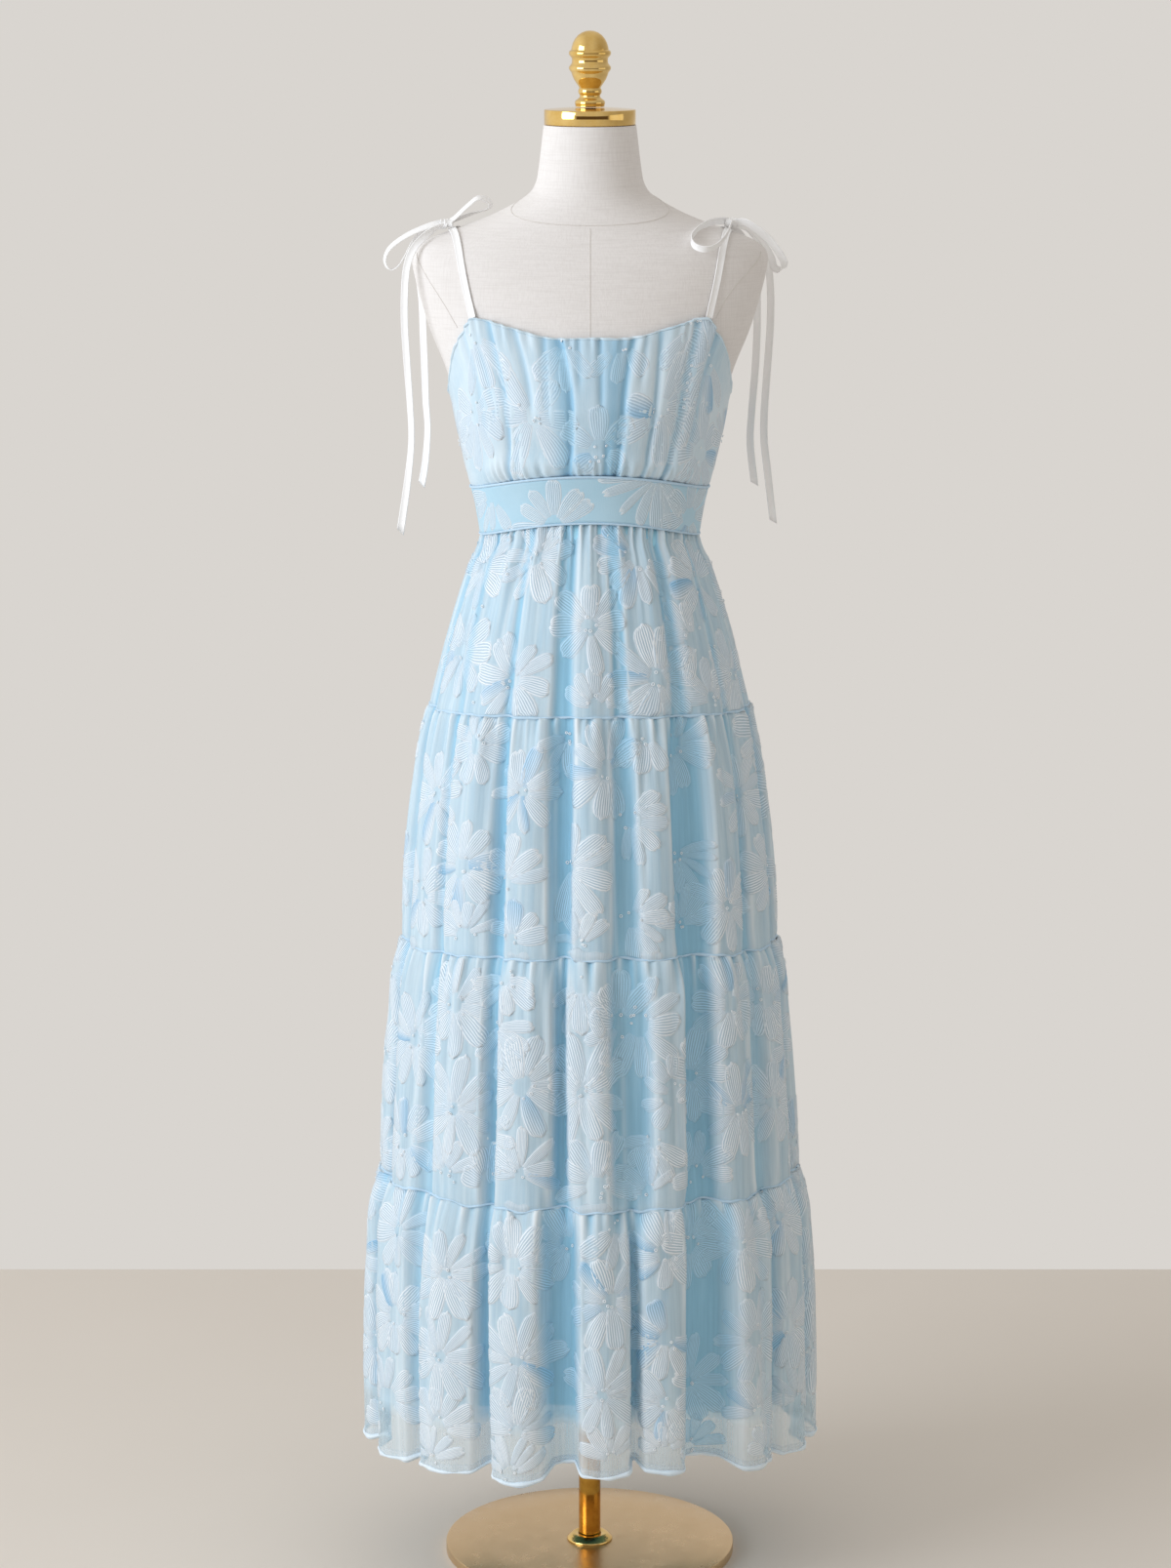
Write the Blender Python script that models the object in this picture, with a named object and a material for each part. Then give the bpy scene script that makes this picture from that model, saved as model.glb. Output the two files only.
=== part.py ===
# Tiered maxi dress with tie straps, standing on a limbless dress form with a turned finial,
# a pole and a round base plate. Metres, +Z up, the front faces -Y, the base plate rests on Z = 0.
import math

import bmesh
import bpy
from mathutils import Vector

# Driving sizes of the cloth
SEAM_GAP = 0.0003       # between two pieces that are sewn together
CLOTH = 0.0016          # wall of the skirt tiers, embroidery included
BODICE_CLOTH = 0.0015   # wall of the bodice
BAND_CLOTH = 0.0022     # waistband, two layers
LINING_CLOTH = 0.0012   # lining
UNDERBUST = 1.179       # seam heights, measured at the side seams
WAIST = 1.129
SEAM_ONE = 0.947         # between the first and second tiers
SEAM_TWO = 0.694
SEAM_THREE = 0.4395
HEM = 0.139
LINING_HEM = 0.188
LINING_HEM_RISE = 0.036  # the lining's hem is this much higher at the centre front

# How finely each wall is divided, in columns round a half and rows down it
TIER_COLUMNS = 52
LINING_COLUMNS = 24
BAND_COLUMNS = 20
BODICE_BACK_COLUMNS = 18
BODICE_MIDDLE_COLUMNS = 48
BODICE_SIDE_COLUMNS = 6
RUCHED_TO = 50.0        # the gathers fill the front out to this angle each way
GATHERS = 26            # small gathers round each tier, under its seam

# Ribbon of the straps, bows and ties
RIBBON_WIDE = 0.008
RIBBON_THICK = 0.0012
KNOT = (0.0125, 0.0135, 0.0095)
KNOT_HEIGHT = {"left": 1.4530, "right": 1.4541}
KNOT_OUT = {"left": -0.1492, "right": 0.1465}

# Stand
CAP_RADIUS = 0.0475
CAP_BOTTOM = 1.5546
CAP_TOP = 1.5701
CAP_DOME = 0.0025
POLE_RADIUS = 0.012
FLANGE_RADIUS = 0.025
FLANGE_HEIGHT = 0.007
BASE_RADIUS = 0.158
BASE_HEIGHT = 0.010
BASE_EDGE = 0.0015
FORM_BOTTOM = 0.855
FORM_COLUMNS = 30

# Sections of the form: half width, and depth forward and backward of the pole's axis
FORM = [
    dict(z=1.5541, wide=0.0479, front=0.0478, back=0.0480),
    dict(z=1.5100, wide=0.0532, front=0.0510, back=0.0530),
    dict(z=1.4935, wide=0.0568, front=0.0525, back=0.0555),
    dict(z=1.4815, wide=0.0660, front=0.0540, back=0.0590),
    dict(z=1.4670, wide=0.0910, front=0.0566, back=0.0645),
    dict(z=1.4590, wide=0.1085, front=0.0585, back=0.0665),
    dict(z=1.4510, wide=0.1295, front=0.0605, back=0.0685),
    dict(z=1.4430, wide=0.1525, front=0.0628, back=0.0705),
    dict(z=1.4360, wide=0.1700, front=0.0655, back=0.0725),
    dict(z=1.4285, wide=0.1808, front=0.0688, back=0.0745),
    dict(z=1.4180, wide=0.1852, front=0.0730, back=0.0770),
    dict(z=1.4000, wide=0.1828, front=0.0785, back=0.0805),
    dict(z=1.3700, wide=0.1752, front=0.0865, back=0.0845),
    dict(z=1.3400, wide=0.1655, front=0.0945, back=0.0870),
    dict(z=1.3050, wide=0.1512, front=0.1020, back=0.0885),
    dict(z=1.2700, wide=0.1412, front=0.1055, back=0.0885),
    dict(z=1.2000, wide=0.1245, front=0.0925, back=0.0840),
    dict(z=1.1650, wide=0.1162, front=0.0850, back=0.0800),
    dict(z=1.1250, wide=0.1088, front=0.0808, back=0.0773),
    dict(z=1.0800, wide=0.1150, front=0.0850, back=0.0850),
    dict(z=0.9600, wide=0.1385, front=0.1030, back=0.1100),
    dict(z=0.9050, wide=0.1375, front=0.1020, back=0.1100),
    dict(z=0.8700, wide=0.1270, front=0.0930, back=0.1010),
    dict(z=FORM_BOTTOM, wide=0.1120, front=0.0810, back=0.0880),
]

# The outer face of the cloth lies this far outside the form, from the waist seam up
EASE = [
    dict(z=WAIST, side=0.0060, front=0.0062),
    dict(z=UNDERBUST, side=0.0058, front=0.0072),
    dict(z=1.2000, side=0.0062, front=0.0090),
    dict(z=1.2400, side=0.0070, front=0.0095),
    dict(z=1.2750, side=0.0065, front=0.0080),
    dict(z=1.3100, side=0.0056, front=0.0066),
    dict(z=1.3700, side=0.0050, front=0.0056),
]

# Rings of the skirt over the crests of its folds. rise lifts a ring at the centre front, fold is the
# depth of the long folds there, and gather is the height of the small gathers.
SKIRT = [
    dict(tier=1, z=WAIST, wide=0.1160, front=0.0880, back=0.0840, rise=0.022, fold=0.0000, gather=0.0010),
    dict(tier=1, z=1.1170, wide=0.1212, front=0.0935, back=0.0895, rise=0.022, fold=0.0010, gather=0.0017),
    dict(tier=1, z=1.0520, wide=0.1440, front=0.1160, back=0.1160, rise=0.018, fold=0.0040, gather=0.0012),
    dict(tier=1, z=SEAM_ONE, wide=0.1715, front=0.1420, back=0.1460, rise=0.009, fold=0.0070, gather=0.0006),
    dict(tier=2, z=SEAM_ONE, wide=0.1715, front=0.1420, back=0.1460, rise=0.009, fold=0.0070, gather=0.0006),
    dict(tier=2, z=0.9310, wide=0.1775, front=0.1478, back=0.1520, rise=0.009, fold=0.0100, gather=0.0020),
    dict(tier=2, z=0.8600, wide=0.1900, front=0.1600, back=0.1645, rise=0.010, fold=0.0140, gather=0.0009),
    dict(tier=2, z=0.7750, wide=0.1985, front=0.1690, back=0.1735, rise=0.012, fold=0.0160, gather=0.0003),
    dict(tier=2, z=SEAM_TWO, wide=0.2025, front=0.1760, back=0.1810, rise=0.013, fold=0.0140, gather=0.0005),
    dict(tier=3, z=SEAM_TWO, wide=0.2025, front=0.1760, back=0.1810, rise=0.013, fold=0.0140, gather=0.0005),
    dict(tier=3, z=0.6740, wide=0.2105, front=0.1825, back=0.1880, rise=0.013, fold=0.0160, gather=0.0022),
    dict(tier=3, z=0.6050, wide=0.2175, front=0.1890, back=0.1950, rise=0.009, fold=0.0190, gather=0.0010),
    dict(tier=3, z=0.5200, wide=0.2230, front=0.1945, back=0.2010, rise=0.005, fold=0.0210, gather=0.0003),
    dict(tier=3, z=SEAM_THREE, wide=0.2270, front=0.1990, back=0.2060, rise=0.003, fold=0.0170, gather=0.0005),
    dict(tier=4, z=SEAM_THREE, wide=0.2270, front=0.1990, back=0.2060, rise=0.003, fold=0.0170, gather=0.0005),
    dict(tier=4, z=0.4180, wide=0.2365, front=0.2070, back=0.2140, rise=0.003, fold=0.0190, gather=0.0024),
    dict(tier=4, z=0.3420, wide=0.2445, front=0.2135, back=0.2190, rise=0.008, fold=0.0230, gather=0.0011),
    dict(tier=4, z=0.2400, wide=0.2475, front=0.2170, back=0.2210, rise=0.015, fold=0.0260, gather=0.0003),
    dict(tier=4, z=HEM, wide=0.2480, front=0.2180, back=0.2210, rise=0.024, fold=0.0280, gather=0.0000),
]

# How far the lining lies inside the skirt's rings, clear of the deepest folds
LINING = [
    dict(z=WAIST, inset=0.0042),
    dict(z=1.1170, inset=0.0072),
    dict(z=1.0520, inset=0.0100),
    dict(z=SEAM_ONE, inset=0.0145),
    dict(z=0.8600, inset=0.0210),
    dict(z=SEAM_TWO, inset=0.0205),
    dict(z=0.5200, inset=0.0270),
    dict(z=SEAM_THREE, inset=0.0235),
    dict(z=LINING_HEM, inset=0.0330),
]

# Long folds: where each crest stands at the waist and at the hem, in degrees from the centre front,
# how full it is, how deep the valley after it goes, and how far its hem hangs below the ring.
FOLDS = [
    dict(waist=-170.0, hem=-169.0, full=0.90, valley=0.85, drop=0.002),
    dict(waist=-148.0, hem=-150.0, full=1.00, valley=0.70, drop=0.006),
    dict(waist=-127.0, hem=-129.0, full=0.86, valley=0.95, drop=0.001),
    dict(waist=-107.0, hem=-106.0, full=1.00, valley=0.75, drop=0.005),
    dict(waist=-88.0, hem=-86.0, full=0.99, valley=0.65, drop=0.000),
    dict(waist=-69.0, hem=-64.0, full=0.98, valley=0.60, drop=0.002),
    dict(waist=-42.0, hem=-38.5, full=1.00, valley=0.90, drop=0.004),
    dict(waist=-21.0, hem=-18.5, full=1.00, valley=1.00, drop=0.012),
    dict(waist=0.0, hem=4.0, full=0.97, valley=0.85, drop=0.004),
    dict(waist=22.5, hem=20.5, full=0.92, valley=1.00, drop=0.001),
    dict(waist=48.0, hem=45.5, full=1.00, valley=0.60, drop=0.003),
    dict(waist=68.0, hem=68.5, full=0.95, valley=0.70, drop=0.000),
    dict(waist=89.0, hem=90.0, full=1.00, valley=0.85, drop=0.003),
    dict(waist=109.0, hem=111.0, full=0.88, valley=0.75, drop=0.001),
    dict(waist=129.0, hem=131.0, full=1.00, valley=0.95, drop=0.006),
    dict(waist=150.0, hem=151.0, full=0.90, valley=0.70, drop=0.002),
    dict(waist=170.0, hem=171.0, full=0.96, valley=0.80, drop=0.004),
]

# Ruched front: the valleys between its gathers
RUCHES = [
    dict(angle=-47.0, deep=0.0010), dict(angle=-42.5, deep=0.0014), dict(angle=-37.5, deep=0.0028),
    dict(angle=-32.0, deep=0.0014), dict(angle=-26.5, deep=0.0026), dict(angle=-20.5, deep=0.0013),
    dict(angle=-15.0, deep=0.0028), dict(angle=-8.5, deep=0.0026), dict(angle=-2.5, deep=0.0012),
    dict(angle=3.2, deep=0.0026), dict(angle=8.5, deep=0.0011), dict(angle=14.0, deep=0.0030),
    dict(angle=20.5, deep=0.0013), dict(angle=27.0, deep=0.0027), dict(angle=34.5, deep=0.0013),
    dict(angle=42.0, deep=0.0024),
]
RUCHE_HALF_WIDTH = 2.3  # degrees
# Share of the ruching's depth at each share of the way up from the seam to the neckline
RUCHE_ROWS = [
    dict(up=0.00, share=0.35, puff=0.0000),
    dict(up=0.07, share=0.85, puff=0.0016),
    dict(up=0.30, share=1.00, puff=0.0010),
    dict(up=0.60, share=1.00, puff=0.0000),
    dict(up=0.92, share=1.00, puff=0.0006),
    dict(up=1.00, share=0.75, puff=0.0000),
]

# Height of the bodice's top edge against the angle from the centre front
TOP_EDGE = [
    dict(angle=0.0, z=1.3426), dict(angle=16.0, z=1.3430), dict(angle=24.0, z=1.3490),
    dict(angle=34.0, z=1.3560), dict(angle=44.0, z=1.3605), dict(angle=47.0, z=1.3560),
    dict(angle=56.0, z=1.3350), dict(angle=64.0, z=1.3190), dict(angle=76.0, z=1.3010),
    dict(angle=90.0, z=1.2870), dict(angle=125.0, z=1.2860), dict(angle=180.0, z=1.2800),
]

# Straps: how far out of the centre each end lies
STRAP_FOOT = {"left": -0.1210, "right": 0.1225}
STRAP_HEAD = {"left": -0.1440, "right": 0.1450}
BACK_STRAP_FOOT = 0.0900
FRONT_STRAP_TURNS = (0.9, 89.2)   # degrees over the shoulder, from the front
BACK_STRAP_TURNS = (225.1, 91.8)
STRAP_CLEAR = 0.0013
FRONT_FOOT_OUT = 0.0026           # further off the form at the foot, to meet the bodice's edge
BACK_FOOT_OUT = 0.0041
FOOT_STEPS = 2
STRAP_STEPS = 16

# Bow loops, in the order that the ribbon takes from the knot and back to it. across is the way
# the ribbon's width points.
LOOPS = {
    "left_low": dict(across=(0.0, 1.0, 0.1), route=[
        (-0.1500, 0.000, 1.4542), (-0.1656, -0.004, 1.4512), (-0.1890, -0.006, 1.4415),
        (-0.2072, -0.006, 1.4285), (-0.2132, -0.005, 1.4155), (-0.2090, -0.004, 1.4058),
        (-0.2010, -0.003, 1.4075), (-0.1930, -0.001, 1.4175), (-0.1800, 0.000, 1.4395),
        (-0.1660, 0.000, 1.4475), (-0.1500, 0.000, 1.4496)]),
    "left_high": dict(across=(0.25, 0.95, 0.2), route=[
        (-0.1490, -0.002, 1.4530), (-0.1400, -0.002, 1.4590), (-0.1281, 0.000, 1.4700),
        (-0.1165, 0.003, 1.4785), (-0.1070, 0.008, 1.4765), (-0.1035, 0.013, 1.4700),
        (-0.1090, 0.016, 1.4655), (-0.1230, 0.013, 1.4620), (-0.1380, 0.006, 1.4570),
        (-0.1490, 0.003, 1.4525)]),
    "right_low": dict(across=(0.0, -0.35, 0.93), route=[
        (0.1465, 0.001, 1.4530), (0.1383, -0.006, 1.4575), (0.1240, -0.020, 1.4580),
        (0.1120, -0.040, 1.4530), (0.1065, -0.056, 1.4440), (0.1100, -0.067, 1.4345),
        (0.1200, -0.069, 1.4310), (0.1300, -0.062, 1.4355), (0.1390, -0.048, 1.4430),
        (0.1445, -0.029, 1.4510), (0.1465, -0.006, 1.4545)]),
    "right_high": dict(across=(0.42, 0.0, 0.9), route=[
        (0.1470, -0.002, 1.4530), (0.1600, -0.006, 1.4540), (0.1720, -0.007, 1.4480),
        (0.1850, -0.006, 1.4385), (0.1955, -0.003, 1.4245), (0.1995, 0.006, 1.4140),
        (0.1960, 0.018, 1.4120), (0.1860, 0.026, 1.4250), (0.1740, 0.022, 1.4400),
        (0.1600, 0.012, 1.4500), (0.1470, 0.003, 1.4520)]),
}

# Ties that hang from the bows. turn is the way the ribbon's width points, in degrees from +X.
TIES = {
    "tie_left_long": [
        dict(x=-0.1520, y=-0.0106, z=1.4524, turn=60), dict(x=-0.1610, y=-0.0150, z=1.4482, turn=45),
        dict(x=-0.1715, y=-0.0200, z=1.4405, turn=30), dict(x=-0.1815, y=-0.0250, z=1.4300, turn=15),
        dict(x=-0.1880, y=-0.0280, z=1.4155, turn=10),
        dict(x=-0.1912, y=-0.0300, z=1.3945, turn=6), dict(x=-0.1922, y=-0.0310, z=1.3557, turn=4),
        dict(x=-0.1902, y=-0.0300, z=1.3158, turn=0), dict(x=-0.1870, y=-0.0290, z=1.2650, turn=-5),
        dict(x=-0.1860, y=-0.0300, z=1.2290, turn=0), dict(x=-0.1902, y=-0.0310, z=1.1880, turn=12),
        dict(x=-0.1982, y=-0.0320, z=1.1340, turn=20),
    ],
    "tie_left_short": [
        dict(x=-0.1515, y=0.0092, z=1.4526, turn=-60), dict(x=-0.1600, y=0.0180, z=1.4495, turn=-60),
        dict(x=-0.1700, y=0.0270, z=1.4425, turn=-50), dict(x=-0.1790, y=0.0350, z=1.4270, turn=-45),
        dict(x=-0.1805, y=0.0390, z=1.4040, turn=-35),
        dict(x=-0.1765, y=0.0390, z=1.3688, turn=-25), dict(x=-0.1752, y=0.0370, z=1.3320, turn=-20),
        dict(x=-0.1740, y=0.0350, z=1.2995, turn=-20), dict(x=-0.1730, y=0.0340, z=1.2650, turn=-30),
        dict(x=-0.1712, y=0.0330, z=1.2340, turn=-35), dict(x=-0.1740, y=0.0330, z=1.1990, turn=-25),
        dict(x=-0.1780, y=0.0330, z=1.1755, turn=-20),
    ],
    "tie_right_long": [
        dict(x=0.1485, y=0.0091, z=1.4550, turn=60), dict(x=0.1575, y=0.0210, z=1.4520, turn=60),
        dict(x=0.1700, y=0.0350, z=1.4400, turn=50), dict(x=0.1835, y=0.0430, z=1.4200, turn=40),
        dict(x=0.1890, y=0.0430, z=1.3945, turn=20),
        dict(x=0.1900, y=0.0400, z=1.3475, turn=5), dict(x=0.1862, y=0.0380, z=1.2852, turn=0),
        dict(x=0.1842, y=0.0370, z=1.2525, turn=-10), dict(x=0.1842, y=0.0360, z=1.2228, turn=-5),
        dict(x=0.1882, y=0.0350, z=1.1880, turn=10), dict(x=0.1945, y=0.0350, z=1.1355, turn=18),
    ],
    "tie_right_short": [
        dict(x=0.1440, y=0.0078, z=1.4514, turn=10), dict(x=0.1480, y=0.0230, z=1.4470, turn=20),
        dict(x=0.1570, y=0.0380, z=1.4390, turn=30), dict(x=0.1680, y=0.0500, z=1.4220, turn=45),
        dict(x=0.1745, y=0.0550, z=1.4000, turn=40), dict(x=0.1765, y=0.0550, z=1.3790, turn=30),
        dict(x=0.1765, y=0.0520, z=1.3400, turn=10), dict(x=0.1750, y=0.0500, z=1.2995, turn=0),
        dict(x=0.1714, y=0.0480, z=1.2525, turn=-20), dict(x=0.1700, y=0.0470, z=1.2177, turn=-10),
        dict(x=0.1748, y=0.0460, z=1.1745, turn=15),
    ],
}

# Outline of the finial, from its top to its foot
FINIAL = [
    dict(radius=0.0000, z=1.6505), dict(radius=0.0080, z=1.6488), dict(radius=0.0145, z=1.6440),
    dict(radius=0.0188, z=1.6375), dict(radius=0.0198, z=1.6310), dict(radius=0.0217, z=1.6288),
    dict(radius=0.0217, z=1.6250), dict(radius=0.0193, z=1.6225), dict(radius=0.0193, z=1.6165),
    dict(radius=0.0217, z=1.6140), dict(radius=0.0217, z=1.6105), dict(radius=0.0190, z=1.6050),
    dict(radius=0.0125, z=1.5960), dict(radius=0.0112, z=1.5915), dict(radius=0.0122, z=1.5895),
    dict(radius=0.0122, z=1.5865), dict(radius=0.0106, z=1.5840), dict(radius=0.0108, z=1.5815),
    dict(radius=0.0150, z=1.5765), dict(radius=0.0155, z=1.5729),
]


def clear_scene():
    for thing in list(bpy.data.objects):
        bpy.data.objects.remove(thing, do_unlink=True)


def material(name, colour, roughness, metallic=0.0):
    made = bpy.data.materials.new(name)
    made.use_nodes = True
    shader = made.node_tree.nodes["Principled BSDF"]
    shader.inputs["Base Color"].default_value = (*colour, 1.0)
    shader.inputs["Roughness"].default_value = roughness
    shader.inputs["Metallic"].default_value = metallic
    return made


def add_object(name, mesh, finish):
    thing = bpy.data.objects.new(name, mesh)
    bpy.context.scene.collection.objects.link(thing)
    if finish:
        mesh.materials.append(finish)
    return thing


def mesh_of(name, points, faces):
    mesh = bpy.data.meshes.new(name)
    mesh.from_pydata([tuple(p) for p in points], [], faces)
    mesh.update()
    return mesh


def read(rows, key, column, at):
    """A column's value between the rows, which run up or down in the key."""
    ordered = sorted(rows, key=lambda row: row[key])
    if at <= ordered[0][key]:
        return ordered[0][column]
    for low, high in zip(ordered, ordered[1:]):
        if at <= high[key]:
            share = (at - low[key]) / (high[key] - low[key])
            return low[column] + share * (high[column] - low[column])
    return ordered[-1][column]


def ring_point(angle, wide, front, back, z):
    """A point of an egg-shaped ring. The angle is in degrees from the centre front towards +X."""
    turn = math.radians(angle)
    deep = front if math.cos(turn) > 0 else back
    return Vector((wide * math.sin(turn), -deep * math.cos(turn), z))


def moved_in(point, distance):
    """The point moved level towards the axis of the pole."""
    level = Vector((point.x, point.y, 0.0))
    return point - level.normalized() * distance


def frontness(angle):
    return max(0.0, math.cos(math.radians(angle))) ** 2


def smooth(share):
    return share * share * (3 - 2 * share)


def wall(name, finish, angles, rows, outer, thick):
    """A closed wall: its outer face through outer(angle, row), its inner face moved in by thick.
    It stops short of the side seams, which stand at Y = 0."""
    grid = [[outer(angle, row) for angle in angles] for row in rows]
    points = [point for ring in grid for point in ring]
    points += [moved_in(point, thick) for ring in grid for point in ring]
    front = grid[0][len(angles) // 2].y < 0
    for end in (0, len(angles) - 1):
        for point in points[end::len(angles)]:
            point.y = -SEAM_GAP / 2 if front else SEAM_GAP / 2
    across, down = len(angles), len(rows)
    inner = across * down
    faces = []
    for i in range(down - 1):
        for j in range(across - 1):
            a, b = i * across + j, i * across + j + 1
            c, d = b + across, a + across
            faces.append((a, d, c, b))
            faces.append((inner + a, inner + b, inner + c, inner + d))
    for j in range(across - 1):
        low = (down - 1) * across + j
        faces.append((j, j + 1, inner + j + 1, inner + j))
        faces.append((low + 1, low, inner + low, inner + low + 1))
    for i in range(down - 1):
        left, right = i * across, i * across + across - 1
        faces.append((left, inner + left, inner + left + across, left + across))
        faces.append((right, right + across, inner + right + across, inner + right))
    return add_object(name, mesh_of(name, points, faces), finish)


def spread(first, last, count):
    return [first + (last - first) * i / count for i in range(count + 1)]


def half_angles(side, columns):
    """The angles of a front or back half, from one side seam to the other."""
    return spread(-90.0, 90.0, columns) if side == "front" else spread(90.0, 270.0, columns)


# Skirt


def fold_at(angle, share):
    """(how far in the cloth lies as a share of the fold's depth, how far its hem drops)."""
    crests = [(row["waist"] + share * (row["hem"] - row["waist"]), row) for row in FOLDS]
    crests.append((crests[0][0] + 360.0, crests[0][1]))
    turned = (angle - crests[0][0]) % 360.0 + crests[0][0]
    for (here, row), (after, following) in zip(crests, crests[1:]):
        if turned <= after:
            along = (turned - here) / (after - here)
            valley = row["valley"] * ((1 - math.cos(2 * math.pi * along)) / 2) ** 1.25
            full = row["full"] + smooth(along) * (following["full"] - row["full"])
            drop = row["drop"] + smooth(along) * (following["drop"] - row["drop"])
            return valley + 1 - full, drop
    return 0.0, 0.0


def gather_at(angle, tier):
    """From 0 on a small gather's crest to 1 between two, a little uneven."""
    turn = math.radians(angle)
    phase = GATHERS * turn + 0.5 * math.sin(3 * turn + tier) + 0.35 * math.sin(7 * turn + 2 * tier)
    return (1 - math.cos(phase)) / 2


def skirt_ring(row, height):
    """The ring's three radii. At the waist seam they are the waistband's."""
    if row["z"] == WAIST:
        return body_ring(height)
    return row["wide"], row["front"], row["back"]


def skirt_point(angle, row, z, tier):
    """The skirt's outer face at a ring of the table, with z at the side seams."""
    fold, drop = fold_at(angle, (WAIST - row["z"]) / (WAIST - HEM))
    deep = row["fold"] * fold + 2 * row["gather"] * gather_at(angle, tier)
    height = z + row["rise"] * frontness(angle) - (drop if row["z"] == HEM else 0.0)
    return moved_in(ring_point(angle, *skirt_ring(row, height), height), deep)


def tier_wall(number, side, finish):
    rings = [(row, row["z"], number) for row in SKIRT if row["tier"] == number]
    # the top ring lies just under the ring that ends the tier above
    rings[0] = (rings[0][0], rings[0][1] - SEAM_GAP / 2, max(number - 1, 1))
    if number < 4:
        rings[-1] = (rings[-1][0], rings[-1][1] + SEAM_GAP / 2, number)

    def outer(angle, ring):
        return skirt_point(angle, *ring)

    return wall(f"tier{number}_{side}", finish, half_angles(side, TIER_COLUMNS), rings, outer, CLOTH)


def lining_wall(side, finish):
    """The lining hangs plainly inside the deepest folds."""

    def outer(angle, row):
        ring = {column: read(SKIRT, "z", column, row["z"]) for column in ("wide", "front", "back", "rise")}
        ring["z"] = row["z"]
        down = (WAIST - row["z"]) / (WAIST - LINING_HEM)
        rise = ring["rise"] + down * (LINING_HEM_RISE - ring["rise"])
        height = row["z"] - SEAM_GAP / 2 + rise * frontness(angle)
        return moved_in(ring_point(angle, *skirt_ring(ring, height), height), row["inset"])

    return wall(f"lining_{side}", finish, half_angles(side, LINING_COLUMNS), LINING, outer, LINING_CLOTH)


# Bodice and waistband


def body_ring(z):
    """The outer face of the cloth round the body at a height above the waist."""
    side, front = read(EASE, "z", "side", z), read(EASE, "z", "front", z)
    return (
        read(FORM, "z", "wide", z) + side,
        read(FORM, "z", "front", z) + front,
        read(FORM, "z", "back", z) + side,
    )


def waistband(side, finish):
    rise = SKIRT[0]["rise"]

    def outer(angle, share):
        height = WAIST + SEAM_GAP / 2 + share * (UNDERBUST - WAIST - SEAM_GAP) + rise * frontness(angle)
        return ring_point(angle, *body_ring(height), height)

    shares = (1.0, 0.5, 0.0)
    return wall(f"waistband_{side}", finish, half_angles(side, BAND_COLUMNS), shares, outer, BAND_CLOTH)


def ruche_at(angle):
    if abs(angle) > 90:
        return 0.0
    return sum(
        row["deep"] * math.exp(-(((angle - row["angle"]) / RUCHE_HALF_WIDTH) ** 2)) for row in RUCHES
    )


def bodice_point(angle, row, ruched):
    """The bodice's outer face, a share of the way up from the underbust seam to its top edge."""
    turned = abs((angle + 180.0) % 360.0 - 180.0)
    bottom = UNDERBUST + SEAM_GAP / 2 + SKIRT[0]["rise"] * frontness(angle)
    z = bottom + row["up"] * (read(TOP_EDGE, "angle", "z", turned) - bottom)
    point = ring_point(angle, *body_ring(z), z)
    deep = ruche_at(angle) * row["share"] - row["puff"] if ruched else 0.0
    return moved_in(point, deep)


def bodice_front(finish):
    angles = spread(-90.0, -RUCHED_TO, BODICE_SIDE_COLUMNS)[:-1]
    angles += spread(-RUCHED_TO, RUCHED_TO, BODICE_MIDDLE_COLUMNS)
    angles += spread(RUCHED_TO, 90.0, BODICE_SIDE_COLUMNS)[1:]

    def outer(angle, row):
        return bodice_point(angle, row, True)

    return wall("bodice_front", finish, angles, RUCHE_ROWS[::-1], outer, BODICE_CLOTH)


def bodice_back(finish):
    def outer(angle, row):
        return bodice_point(angle, row, False)

    angles = half_angles("back", BODICE_BACK_COLUMNS)
    rows = [dict(up=up) for up in (1.0, 0.66, 0.33, 0.0)]
    return wall("bodice_back", finish, angles, rows, outer, BODICE_CLOTH)


# Ribbon


def smooth_route(points, steps):
    """Points on one smooth curve through the given ones."""
    route = [Vector(p) for p in points]
    padded = [2 * route[0] - route[1], *route, 2 * route[-1] - route[-2]]
    made = []
    for before, a, b, after in zip(padded, padded[1:], padded[2:], padded[3:]):
        for step in range(steps):
            t = step / steps
            made.append(
                0.5 * (2 * a + t * (b - before) + t * t * (2 * before - 5 * a + 4 * b - after)
                       + t * t * t * (3 * a - before - 3 * b + after))
            )
    return made + [route[-1]]


def ribbon(name, finish, route, across):
    """A flat ribbon along the route. across holds the way its width points at each point."""
    points = []
    for i, here in enumerate(route):
        along = (route[min(i + 1, len(route) - 1)] - route[max(i - 1, 0)]).normalized()
        side = (across[i] - along * across[i].dot(along)).normalized() * RIBBON_WIDE / 2
        up = along.cross(side).normalized() * RIBBON_THICK / 2
        points += [here - side - up, here + side - up, here + side + up, here - side + up]
    faces = [(3, 2, 1, 0)]
    for i in range(len(route) - 1):
        a, b = 4 * i, 4 * i + 4
        for j in range(4):
            k = (j + 1) % 4
            faces.append((a + j, a + k, b + k, b + j))
    last = 4 * (len(route) - 1)
    faces.append((last, last + 1, last + 2, last + 3))
    return add_object(name, mesh_of(name, points, faces), finish)


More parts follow.
